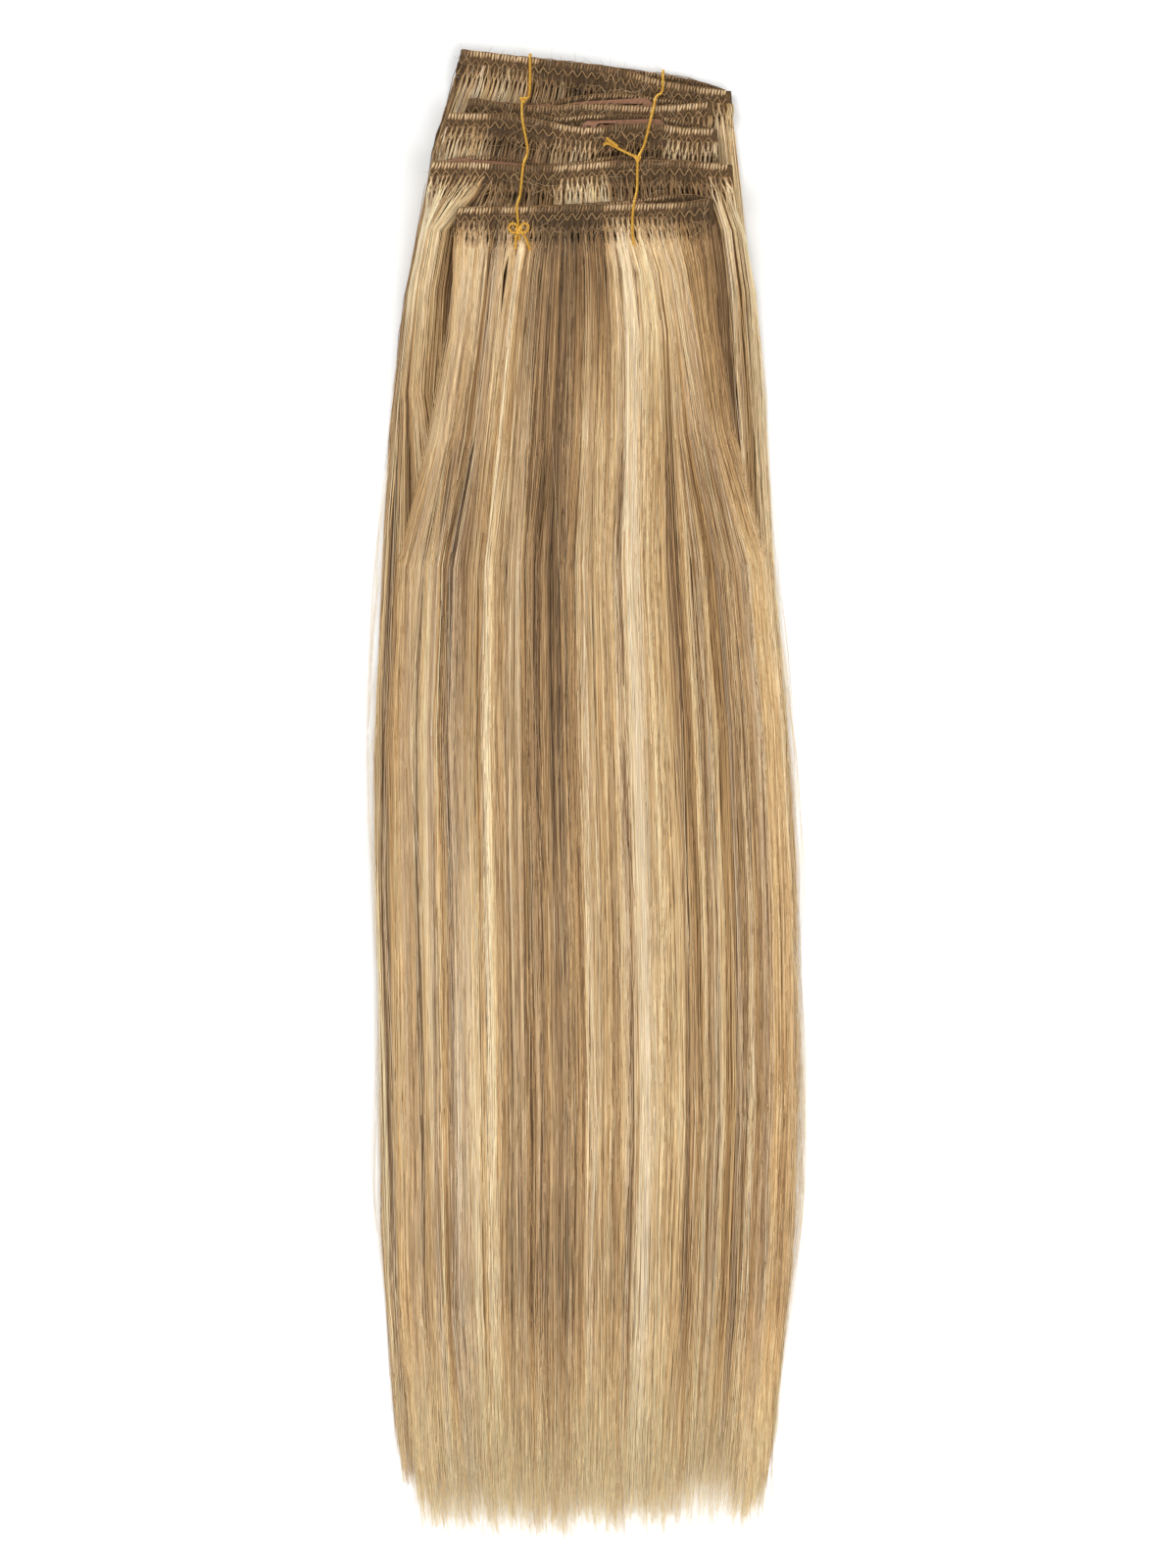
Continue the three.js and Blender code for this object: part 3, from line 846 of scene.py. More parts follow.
def shell(name: str, top: Array, bottom: Array, tone: Array, material: bpy.types.Material):
    """Closed shell between two sheets of points that share their outline.

    Args:
        name: Name of the object.
        top: Points of the upper sheet, (rows along -Y, columns along +X, 3) in millimetres.
        bottom: Points of the lower sheet.
        tone: Tone of each place, (rows, columns).
        material: Its material.

    Returns:
        The object.
    """
    count, width = tone.shape
    size = count * width
    index = np.arange(size).reshape(count, width)
    a, b, c, d = index[:-1, :-1], index[1:, :-1], index[1:, 1:], index[:-1, 1:]
    upper = np.stack([a, b, c, d], -1).reshape(-1, 4)
    lower = upper[:, ::-1] + size
    rim = np.concatenate([index[:, 0], index[-1, 1:], index[-2::-1, -1], index[0, -2:0:-1]])
    after = np.roll(rim, -1)
    wall = np.stack([rim, rim + size, after + size, after], -1)
    faces = np.concatenate([upper, lower, wall])
    points = np.concatenate([top.reshape(-1, 3), bottom.reshape(-1, 3)]) * MM
    mesh = bpy.data.meshes.new(name)
    mesh.from_pydata(points.tolist(), [], faces.tolist())
    mesh.shade_smooth()
    mesh.materials.append(material)
    write_floats(mesh, {
        "tone": np.tile(tone.ravel(), 2),
        "warmth": np.full(2 * size, SHELL_WARMTH),
    })
    row, col = np.divmod(np.arange(size), width)
    u = np.concatenate([col, col]) / (width - 1) * SHEET_WIDE + np.repeat(SHEET_STARTS, size)
    v = np.concatenate([row, row]) / (count - 1) * SHEET_TALL + (1 - SHEET_TALL) / 2
    corners = corner_points(mesh)
    write_bake_map(mesh, u[corners], v[corners])
    return linked(name, mesh)


# Hair


@dataclass
class Strew:
    """Random shades and groups across the hair of one weft."""

    random: np.random.Generator

    def grouped(self, share: Array, groups: int) -> tuple[Array, Array, Array]:
        """Gathers strands into groups.

        Args:
            share: Place of each strand across the bundle.
            groups: Number of groups across it.

        Returns:
            The middle of each strand's group, the group's number, and how far out in its group
            the strand is, from 0 in the middle to 1 at its edge.
        """
        middles = (np.arange(groups + 1) + self.random.uniform(-0.36, 0.36, groups + 1)) / groups
        member = np.abs(share[:, None] - middles[None, :]).argmin(axis=1)
        out = np.clip(np.abs(share - middles[member]) * 2 * groups, 0, 1)
        return middles[member], member, out

    def noise(self, share: Array, places: int, spread: float) -> Array:
        """Smooth random values across the hair.

        Args:
            share: Places across the hair.
            places: Number of random places.
            spread: Standard deviation of the values.

        Returns:
            A value for each place.
        """
        table = self.random.normal(0, spread, places)
        return np.interp(share, np.linspace(0, 1, places), table)


@dataclass
class StrandSet:
    """Places and groups of strands, with one value for each strand.

    along is its place on the band, share and low its share of the bundle's width high up and low
    down, lock, tuft and wisp the middles of its groups, member and flock the numbers of its lock
    and its wisp, and bulge how far out in its lock it is.
    """

    along: Array
    share: Array
    low: Array
    lock: Array
    member: Array
    bulge: Array
    tuft: Array
    wisp: Array
    flock: Array


@dataclass(frozen=True)
class Pinch:
    """How one zigzag row draws the hair into locks, with its depth and reach in millimetres, and the
    shade painted into the gaps between its locks.
    """

    depth: float
    reach: float
    pull: float
    gap_shade: float

    def strength(self, depth: Array) -> Array:
        """How strong the pull is at depths below the bound edge."""
        return np.exp(-(((depth - self.depth) / self.reach) ** 2))


# The last value of each pinch is the shade painted into the gaps between its locks.
NEAR_PINCH = Pinch(6.9, 1.9, 0.9, 0.42)
FAR_PINCH = Pinch(11.4, 2.3, 0.75, 0.36)


@dataclass
class HairFall:
    """The hair of one weft: a thin closed body and the strands that lie on it."""

    weft: Weft
    field_of: dict[int, HeightField]
    seed: int
    root_depth: float = 4.6
    lock_pitch: float = 1.83
    thin: float = 0.085
    thick: float = 0.15
    locks: int = 74
    wisps: int = 62
    tufts: int = 44
    body_columns: int = 49
    body_rows: int = 48
    body_under: float = 1.4
    body_short: float = 42.0
    root_points: int = 9
    turn_top: float = 165.0
    turn_length: float = 95.0
    root_jitter: float = 0.6
    share_spread: float = 0.003
    low_spread: float = 0.006
    own_spread: float = 0.135
    fall_length: float = 490.0
    loose_share: float = 0.3
    stray_share: float = 0.06
    taper: float = 0.66
    bed_gap: float = 0.25
    wisp_cut: float = 6.0
    tip_cut: tuple[float, float] = (3, 5.8)
    corner_cut: float = 14.0
    longest_at: float = 0.4
    tip_over: float = 9.0
    most_cut: float = 46.0
    # The tips are painted paler from this depth, over this length, standing for light through the
    # thin ends.
    tip_light_from: float = 418.0
    tip_light_over: float = 52.0
    knots: tuple[float, ...] = (0, 1.8, 4.2, 6.8, 10.5, 20, 42, 80, 130, 195, 270, 345, 430, 500)

    def __post_init__(self) -> None:
        """Starts the weft's own random numbers."""
        self.random = np.random.default_rng(self.seed)
        self.strew = Strew(self.random)
        random = self.random
        self.streaks = [random.normal(0, spread, places)
                        for places, spread in ((60, 0.07), (150, 0.13), (330, 0.11))]
        self.golden = random.normal(0, 0.3, 90)

    def path(self, along: Array, share: Array, low: Array, y: Array) -> Array:
        """X of hair at Y.

        Args:
            along: Place of each strand along the band.
            share: Its share of the width high up.
            low: Its share of the width low down.
            y: Y of the points, with one column for each point.

        Returns:
            X of the points.
        """
        depth = BUNDLE.edge_y(self.weft, along, Layer.FRONT)[:, None] - y
        spread = np.clip((depth - 1.5) / self.weft.reach, 0, 1)
        fall = 0.6 * spread + 0.4 * eased(spread)
        turn = eased((self.turn_top - y) / self.turn_length)
        lies = BUNDLE.across(share[:, None] + (low - share)[:, None] * turn, y)
        start = BUNDLE.hung_x(self.weft, along[:, None], depth)
        return start + (lies - start) * fall

    def height(self, x: Array, y: Array, root: Array) -> Array:
        """Z of the weft's upper face, on its band and on its hair."""
        band = BUNDLE.layer_z(self.weft, Layer.FRONT)
        depth = root - y
        hair = self.field_of[self.weft.number].at(x, y)
        return band + (hair - band) * eased((depth - 10) / 5)

    def bed(self, x: Array, y: Array) -> Array:
        """Z of what the weft's hair lies on."""
        below = self.field_of.get(self.weft.number - 1)
        return below.at(x, y) if below else np.zeros_like(x)

    def tone(self, along: Array, x: Array, y: Array, root: Array, drift: Array) -> Array:
        """Tone of the hair, from its band's patches into the bundle's streaks.

        Args:
            along: Place of each strand along the band.
            x: X of its points.
            y: Y of its points.
            root: Y of its root.
            drift: How far it has strayed from its streak, as a share of the width.

        Returns:
            The tone of every point.
        """
        left, right = BUNDLE.across(np.zeros_like(x), y), BUNDLE.across(np.ones_like(x), y)
        share = (x - left) / (right - left) + drift
        upper = np.interp(share, column(STREAKS, "at"), column(STREAKS, "upper"))
        lower = np.interp(share, column(STREAKS, "at"), column(STREAKS, "lower"))
        streak = upper + (lower - upper) * eased((90 - y) / 180)
        patch = np.interp(along, column(self.weft.tones, "at"), column(self.weft.tones, "tone"))
        return patch[:, None] + (streak - patch[:, None]) * eased((root - y - 25) / 60)

    def pinched(self, along: Array, depth: Array) -> tuple[Array, Array]:
        """Locks that the two zigzag rows draw the hair into.

        Args:
            along: Place of each strand along the band.
            depth: Depth of its points below the bound edge.

        Returns:
            The shift of the points along the band in millimetres, and the shade painted into the
            gaps between the locks.
        """
        place = BUNDLE.band_x(self.weft, along) / self.lock_pitch
        place = (place + self.strew.noise(along, 90, 0.14))[:, None]
        lean = self.random.normal(0, 0.4, 400)[np.round(place).astype(int) % 400]
        first = (np.round(place) - place) * self.lock_pitch
        second = (np.floor(place) + 0.5 - place) * self.lock_pitch
        near, far = NEAR_PINCH.strength(depth), FAR_PINCH.strength(depth)
        # Painted shade: strands far from a lock's middle, in the gaps between locks, are darker.
        shade = NEAR_PINCH.gap_shade * near * first ** 2 + FAR_PINCH.gap_shade * far * second ** 2
        shade = shade / (self.lock_pitch / 2) ** 2
        shift = NEAR_PINCH.pull * first * near + FAR_PINCH.pull * second * far
        return shift + lean * eased((depth - 5) / 6), shade

    def strand_set(self, count: int, full: bool) -> StrandSet:
        """Spreads strands over the weft's whole width and sorts them into groups.

        Args:
            count: Number of strands.
            full: Whether they reach the tips.

        Returns:
            The strands' places and groups.
        """
        along = self.places(count, full)
        share, low = (np.interp(along, column(self.weft.flow, "along"), column(self.weft.flow, name))
                      for name in ("middle", "low"))
        share = share + self.random.normal(0, self.share_spread, count)
        low = low + self.random.normal(0, self.low_spread, count)
        lock, member, bulge = self.strew.grouped(low, self.locks)
        tuft, _, _ = self.strew.grouped(share, self.tufts)
        wisp, flock, _ = self.strew.grouped(low, self.wisps)
        return StrandSet(along, share, low, lock, member, bulge, tuft, wisp, flock)

    def depths(self, strands: StrandSet, full: bool, root: Array) -> Array:
        """Depths of the strands' points below the bound edge.

        Args:
            strands: The strands.
            full: Whether they reach the tips; otherwise only the part near the band is made.
            root: Y of the bound edge at each strand.

        Returns:
            The depths in millimetres, (strands, points).
        """
        random, knots, count = self.random, np.array(self.knots), len(strands.along)
        start = random.random(count)[:, None] * self.root_jitter
        depth = self.root_depth + start + np.zeros((1, len(knots)))
        if not full:
            some = self.root_points
            longer = 0.75 + 0.25 * random.random(count)[:, None]
            return depth[:, :some] + knots[None, :some] * longer
        ragged = random.random(self.wisps + 1)[strands.flock] ** 1.5 * self.wisp_cut
        cut = ragged + random.gamma(*self.tip_cut, count)
        cut = cut + self.corner_cut * np.abs(strands.low - self.longest_at) ** 1.6 - self.tip_over
        cut = np.minimum(cut, self.most_cut)
        span = root[:, 0] - self.root_depth - BUNDLE.tip_y(self.weft) - cut
        stretch = 1 + (span[:, None] / knots[-1] - 1) * eased(knots / knots[-1])[None, :]
        return depth + knots[None, :] * stretch

    def gathered(self, x: Array, y: Array, depth: Array, strands: StrandSet) -> Array:
        """X of strands after they are drawn into locks, tufts and wisps.

        Args:
            x: X of their points.
            y: Y of their points.
            depth: Depth of their points below the bound edge.
            strands: Their places and groups.

        Returns:
            The new X of their points.
        """
        random, count = self.random, len(strands.along)
        far = depth / self.fall_length
        loose = random.random(count) < self.loose_share
        held = np.where(loose, 0.0, random.uniform(0.5, 1, count))[:, None]
        x = x + self.drawn(strands.low, strands.lock, y) * held * (
            0.1 + 0.5 * eased(far * 1.5)) * eased((depth - 20) / 60)
        tight = np.exp(-(((depth - 26) / 17) ** 2)) * eased((depth - 9) / 10)
        x = x + self.drawn(strands.share, strands.tuft, y) * 0.5 * tight * held
        gather = random.uniform(0.1, 0.85, self.wisps + 1)[strands.flock][:, None]
        return x + self.drawn(strands.low, strands.wisp, y) * gather * eased((far - 0.86) / 0.14)

    def strayed(self, x: Array, depth: Array) -> Array:
        """X of strands after a few have left their locks and all have spread at the tips."""
        random, count = self.random, len(x)
        far = depth / self.fall_length
        stray = (random.random(count) < self.stray_share)[:, None]
        lean = random.normal(0, 1.6, count)[:, None]
        x = x + np.where(stray, lean * np.sin(far * 7 + lean), 0) * eased((depth - 20) / 60)
        astray = random.normal(0, 1, count) * random.uniform(0.4, 2.6, count)
        return x + astray[:, None] * np.clip((far - 0.9) / 0.1, 0, 1) ** 2

    def levels(self, x: Array, y: Array, depth: Array, bulge: Array,
               over: float) -> tuple[Array, Array]:
        """How high strands lie.

        Args:
            x: X of their points.
            y: Y of their points.
            depth: Depth of their points below the bound edge.
            bulge: How far out in its lock each strand is.
            over: How far up in the hair they lie, from 0 for inside to 1 for on top.

        Returns:
            Z of the points, and their height over the weft's upper face.
        """
        level = self.random.random(len(x))[:, None] ** 1.3
        dome = 1 - bulge[:, None] ** 2
        rise = -0.6 * level + 0.45 * (dome - 0.4) * eased((depth - 15) / 60)
        rise = rise * (1 - over) + over * (0.15 + 0.3 * dome - 0.35 * level)
        root_rise = 0.3 - 0.3 * level
        rise = root_rise + (rise - root_rise) * eased((depth - 14) / 20)
        top = self.height(x, y, y + depth)
        z = np.maximum(top + rise, np.minimum(self.bed(x, y) + self.bed_gap, top))
        return np.where(depth < 12, top + root_rise, z), rise

    def build_strands(self, count: int, full: bool, over: float) -> Lines:
        """Strands over the weft's whole width.

        Args:
            count: Number of strands.
            full: Whether they reach the tips; otherwise only the part near the band is made.
            over: How far up in the hair they lie, from 0 for inside to 1 for on top.

        Returns:
            The strands as lines.
        """
        random = self.random
        strands = self.strand_set(count, full)
        along = strands.along
        root = BUNDLE.edge_y(self.weft, along, Layer.FRONT)[:, None]
        depth = self.depths(strands, full, root)
        y = root - depth
        far = depth / self.fall_length
        x = self.path(along, strands.share, strands.low, y)
        x = self.gathered(x, y, depth, strands)
        # The second value is the shade painted into the gaps between the locks.
        pinch, gap_shade = self.pinched(along, depth)
        x = x + self.sway(count, far, depth) + pinch
        x = x + self.parting(x, y) * (0.4 + 0.6 * over)
        x = self.strayed(x, depth)
        fold = (along == 1)[:, None] * (1 - eased((depth - 11) / 14))
        angle = random.uniform(-1.4, 1.5, count)[:, None]
        x = x + fold * np.cos(angle) * (BUNDLE.band_height / 2 + 0.1)
        tone, warmth = self.shades(strands, x, y, root)
        z, rise = self.levels(x, y, depth, strands.bulge, over)
        z = z - fold * (1 - np.sin(angle)) * BUNDLE.band_height / 2
        # Painted shade: strands that lie lower in the hair are darker, and so are the gaps between
        # the locks.
        tone = tone - 0.2 * np.clip(-rise, 0, 1) - gap_shade
        thick = self.thin + (self.thick - self.thin) * random.random(count)
        girth = thick[:, None] * (1 - self.taper * eased((far - 0.9) / 0.1)) * np.ones_like(y)
        if not full:
            girth[:, -1] *= 0.5
        points = np.stack([x, y, np.maximum(z, self.thick + 0.01)], -1)
        return Lines(points, girth, np.clip(tone, DARKEST, 1), np.clip(warmth, 0, 1))

    def places(self, count: int, full: bool) -> Array:
        """Places along the band, even along it and, for full strands, as much across the bundle."""
        even = (np.arange(count) + self.random.random(count)) / count
        if not full:
            return np.where(self.random.random(count) < 0.04, 1.0, even)
        pick = self.random.random(count)
        along = even
        for name, most in (("middle", 0.55), ("low", 0.3)):
            place = column(self.weft.flow, name)
            spot = place[0] + (place[-1] - place[0]) * even
            spread = np.interp(spot, place, column(self.weft.flow, "along"))
            along = np.where(pick < most, spread, along)
        return along

    def drawn(self, share: Array, middle: Array, y: Array) -> Array:
        """Way in millimetres from strands to the middles of their groups."""
        return BUNDLE.across(middle[:, None], y) - BUNDLE.across(share[:, None], y)

    def sway(self, count: int, far: Array, depth: Array) -> Array:
        """Slow waves of single strands, in millimetres."""
        wave = self.random.random((count, 3))
        swing = np.sin(2 * math.pi * (far * (1 + 2 * wave[:, :1]) + wave[:, 1:2]))
        return swing * (0.35 + 2.2 * wave[:, 2:] ** 3) * eased((depth - 15) / 90)

    def shades(self, strands: StrandSet, x: Array, y: Array, root: Array) -> tuple[Array, Array]:
        """Tone and warmth of strands, with locks and streaks of their own, painted shade near the
        band, between locks and in the partings, and painted light at the tips.

        Args:
            strands: Their places and groups.
            x: X of their points.
            y: Y of their points.
            root: Y of the bound edge at each strand.

        Returns:
            The tone and the warmth of every point.
        """
        random, strew = self.random, self.strew
        along, low, count = strands.along, strands.low, len(strands.along)
        streaks = sum(np.interp(low, np.linspace(0, 1, len(table)), table)
                      for table in self.streaks)
        own = random.normal(0, self.own_spread, count)
        drift = strew.noise(low, 70, 0.014) + random.normal(0, 0.01, count)
        # Painted shade: strands at the outer edge of a lock are darker, as in the dark slits between
        # locks.
        lock_edge_shade = random.random(self.locks + 1)[strands.member] ** 2 * 0.45 * strands.bulge ** 4
        depth = root - y
        # Painted light: the ends are made paler and more golden, standing for light that passes
        # through the thin tips.
        tip = 0.95 * eased((depth - self.tip_light_from) / self.tip_light_over)
        tone = self.tone(along, x, y, root, drift[:, None]) + (streaks + own - lock_edge_shade)[:, None]
        wave = strew.noise(low, 60, 1.5)[:, None] + random.normal(0, 0.2, count)[:, None]
        tone = tone + 0.07 * np.sin(depth / 45 + wave * 2) * eased((depth - 40) / 80)
        tone = tone + (1.0 + own[:, None] - tone) * tip
        # Painted shade along the partings that the cords open in the front hair.
        for at, start, end in self.partings():
            off = np.abs(x - at)
            tone = tone - 0.5 * self.open_by(y, start, end) * np.exp(-((off / 0.9) ** 2))
        patch = np.interp(along, column(self.weft.tones, "at"), column(self.weft.tones, "tone"))
        shadow = 0.45 * np.exp(-((depth - self.root_depth) / 1.6))
        shadow = shadow + 0.3 * (1.05 - patch[:, None]) * np.exp(-depth / 14)
        warmth = 0.6 + np.interp(low, np.linspace(0, 1, len(self.golden)), self.golden)
        warmth = warmth + random.normal(0, 0.2, count)
        return tone - shadow, warmth[:, None] + 0.5 * tip

    def partings(self) -> tuple[tuple[float, float, float], ...]:
        """X, upper and lower end of the two partings that the cords make in the front hair."""
        if self.weft.number != len(WEFTS):
            return ()
        return (-30.6, 205.0, 172.0), (18.0, 205.0, 184.0)

    @staticmethod
    def open_by(y: Array, start: float, end: float) -> Array:
        """How far a parting has opened at Y, from 0 to 1."""
        return eased((start - y) / 6) * eased((y - end) / (0.8 * (start - end)))

    def parting(self, x: Array, y: Array) -> Array:
        """Shift of the front hair away from the two cords that sink into it."""
        shift = np.zeros_like(x)
        for at, start, end in self.partings():
            off = x - at
            shift = shift + np.sign(off) * 0.85 * self.open_by(y, start, end) * np.exp(
                -np.abs(off) / 2.5)
        return shift

    def build_body(self, material: bpy.types.Material) -> bpy.types.Object:
        """The thin closed body under the strands, painted dark so that the gaps between strands show
        painted shade.
        """
        weft = self.weft
        fine = np.linspace(0, 1, 160)
        share = np.interp(fine, column(weft.flow, "along"), column(weft.flow, "middle"))
        low = np.interp(fine, column(weft.flow, "along"), column(weft.flow, "low"))
        start = BUNDLE.edge_y(weft, fine, Layer.FRONT) - BUNDLE.band_depth - 0.2
        corners = self.corner_cut * np.abs(low - self.longest_at) ** 1.6
        wavy = 6 * np.sin(fine * 47) + corners
        end = BUNDLE.tip_y(weft) + self.body_short + wavy
        t = np.linspace(0, 1, self.body_rows) ** 1.6
        fine_y = start[None, :] + (end - start)[None, :] * t[:, None]
        fine_x = np.maximum.accumulate(self.path(fine, share, low, fine_y.T).T, axis=1)
        x = np.linspace(fine_x[:, 0], fine_x[:, -1], self.body_columns, axis=1)
        y = np.array([np.interp(*row) for row in zip(x, fine_x, fine_y)])
        along = np.array([np.interp(*row, fine) for row in zip(x, fine_x)])
        root = BUNDLE.edge_y(weft, along, Layer.FRONT)
        inset = np.array([0.7 if 0 < c < self.body_columns - 1 else 1.0
                          for c in range(self.body_columns)])
        x = x * (1 - 0.012 * inset)[None, :]
        near = ((0, 0), (-2.6, 0), (2.6, 0), (0, -3.5), (0, 3.5))
        top = np.min([self.height(x + a, y + b, root + b) for a, b in near], axis=0)
        bed = self.bed(x, y)
        fade = eased((t[:, None] - 0.72) / 0.28)
        upper = top - self.body_under
        lower = np.maximum(np.minimum(bed + self.bed_gap, upper - self.bed_gap), 0.1)
        side = np.abs(np.linspace(-1, 1, self.body_columns))[None, :] ** 8
        upper = upper + (lower + 0.3 - upper) * np.maximum(side * 0.6, fade * 0.1)
        upper = np.maximum(upper, lower + 0.2)
        tone = self.tone(along.ravel(), x.reshape(-1, 1), y.reshape(-1, 1), root.reshape(-1, 1), 0)
        # Painted shade: the body is half as pale as the strands, so the gaps between them look
        # shaded, and darker still near the band; near the tips it fades to the strands' painted tip
        # light.
        tone = tone.reshape(x.shape) * 0.5 - 0.04
        tone = tone + (0.82 - tone) * fade
        depth = root - y
        tone = tone * (0.25 + 0.75 * eased((depth - 12) / 60))
        return shell(
            f"hair_{weft.number}_body",
            np.stack([x, y, upper], -1),
            np.stack([x, y, lower], -1),
            np.clip(tone, DARKEST, 1),
            material,
        )


@dataclass
class SideHair:
    """Long strands of the rear wefts that show along the bundle's two sides and below it."""

    field_of: dict[int, HeightField]
    each_side: int = 330
    below: int = 520
    seed: int = 91

    def build(self, material: bpy.types.Material) -> bpy.types.Object:
        """The strands of both sides and of the underside as one piece."""
        random = np.random.default_rng(self.seed)
        knots = np.linspace(0, 1, 12)
        parts = []
        inward = random.random((2, self.each_side)) ** 1.5 * 0.075
        parts.append(self.fall(random, inward[0], knots, 232, 1.0))
        parts.append(self.fall(random, 1 - inward[1], knots, 258, 1.0))
        parts.append(self.fall(random, random.random(self.below), knots, 228, 0.0))
        return tubes("hair_side_strands", Lines.joined(parts), material)

    def fall(self, random: np.random.Generator, share: Array, knots: Array, top: float,
             high: float) -> Lines:
        """Strands at given shares of the width, between the floor and the fourth weft's top.

        Args:
            random: Source of random numbers.
            share: Share of the width of each strand.
            knots: Places of the points down each strand.
            top: Y of their upper ends.
            high: Highest level, as a share of the hair's height there.

        Returns:
            The strands as lines.
        """
        count = len(share)
        start = top - 14 * random.random(count)
        end = BUNDLE.tip_y(WEFTS[3]) + random.gamma(2, 7, count)
        y = start[:, None] + (end - start)[:, None] * knots[None, :]
        wave = random.random((count, 3))
        sway = np.sin(2 * math.pi * (knots[None, :] * (1 + 2 * wave[:, :1]) + wave[:, 1:2]))
        x = BUNDLE.across(share[:, None], y) + sway * (0.2 + 1.0 * wave[:, 2:] ** 2)
        level = (high * random.random(count))[:, None]
        under = BUNDLE.lift * eased((y - 180) / 14)
        z = np.maximum(self.field_of[3].at(x, y) * level, under) + 0.16
        upper = (0.45 + 0.25 * (share > 0.5))[:, None]
        lower = np.interp(share, column(STREAKS, "at"), column(STREAKS, "lower"))[:, None]
        tone = upper + (lower - upper) * eased((140 - y) / 180)
        tone = tone + random.normal(0, 0.15, count)[:, None]
        girth = (0.09 + 0.05 * random.random(count))[:, None] * (1 - 0.6 * knots[None, :] ** 6)
        points = np.stack([x, y, z], -1)
        return Lines(points, girth, np.clip(tone, DARKEST, 1), random.uniform(0.2, 0.9, count))


@dataclass
class Flyaways:
    """Loose fine hairs that stand out along the sides, over the hair and round the bands."""

    field_of: dict[int, HeightField]
    sides: int = 80
    over: int = 80
    fuzz: int = 520
    seed: int = 17

    def build_long(self, material: bpy.types.Material) -> bpy.types.Object:
        """Long loose hairs."""
        random = np.random.default_rng(self.seed)
        knots = np.linspace(0, 1, 12)
        count = self.sides + self.over
        start = random.uniform(-120, 190, count)
        start[: self.sides] = random.uniform(-120, 130, self.sides)
        length = random.uniform(50, 150, count)
        y = np.maximum(start[:, None] - length[:, None] * knots[None, :], -270)
        side = (random.random(count) < np.where(start < 20, 0.75, 0.5)).astype(float)
        share = random.uniform(0.05, 0.95, count)
        share[: self.sides] = side[: self.sides]
        arc = np.sin(math.pi * knots)[None, :]
        out = np.where(side > 0, 1, -1)[:, None] * random.uniform(0.4, 4.5, count)[:, None]
        lean = random.uniform(-9, 9, count)[:, None] * knots[None, :]
        x = BUNDLE.across(share[:, None], y)
        at_side = (np.arange(count) < self.sides)[:, None]
        x = x + np.where(at_side, out * arc ** 0.7, lean)
        z = self.field_of[5].at(x, y) + np.where(at_side, 0.4, 0.45)
        z = np.where(at_side, np.maximum(z * (1 - 0.6 * arc), 0.3), z + 0.2)
        tone = random.uniform(0.5, 1, count)[:, None] + np.zeros_like(y)
        girth = (0.05 + 0.025 * random.random(count))[:, None] * (1 - 0.6 * knots[None, :] ** 4)
        lines = Lines(np.stack([x, y, z], -1), girth, tone, random.uniform(0.3, 1, count))
        return tubes("hair_flyaways", lines, material)

    def build_fuzz(self, material: bpy.types.Material) -> bpy.types.Object:
        """Short hairs that lie across the bands at all angles."""
        random = np.random.default_rng(self.seed + 1)
        knots = np.linspace(-0.5, 0.5, 5)
        count = self.fuzz
        weft = random.integers(0, len(WEFTS), count)
        along = random.random(count)
        x0, y0, z0 = np.zeros(count), np.zeros(count), np.zeros(count)
        for index, one in enumerate(WEFTS):
            mine = weft == index
            x0[mine] = BUNDLE.band_x(one, along[mine])
            y0[mine] = BUNDLE.edge_y(one, along[mine], Layer.FRONT) - random.uniform(
                -0.4, 13, mine.sum())
            z0[mine] = BUNDLE.layer_z(one, Layer.FRONT) + 0.75
        angle = random.normal(math.pi / 2, 0.75, count)
        length = random.uniform(4, 13, count)
        bend = random.normal(0, 0.35, count)
        turned = angle[:, None] + bend[:, None] * knots[None, :] * 2
        x = x0[:, None] + length[:, None] * knots[None, :] * np.cos(turned)
        y = y0[:, None] + length[:, None] * knots[None, :] * np.sin(turned)
        z = z0[:, None] - 0.25 * (knots[None, :] * 2) ** 2
        tone = random.uniform(0.15, 0.75, count)[:, None] + np.zeros_like(x)
        girth = np.full_like(x, 0.06)
        girth[:, [0, -1]] = 0.03
        lines = Lines(np.stack([x, y, z], -1), girth, tone, random.uniform(0, 1, count))
        return tubes("band_stray_hairs", lines, material)


# Bands


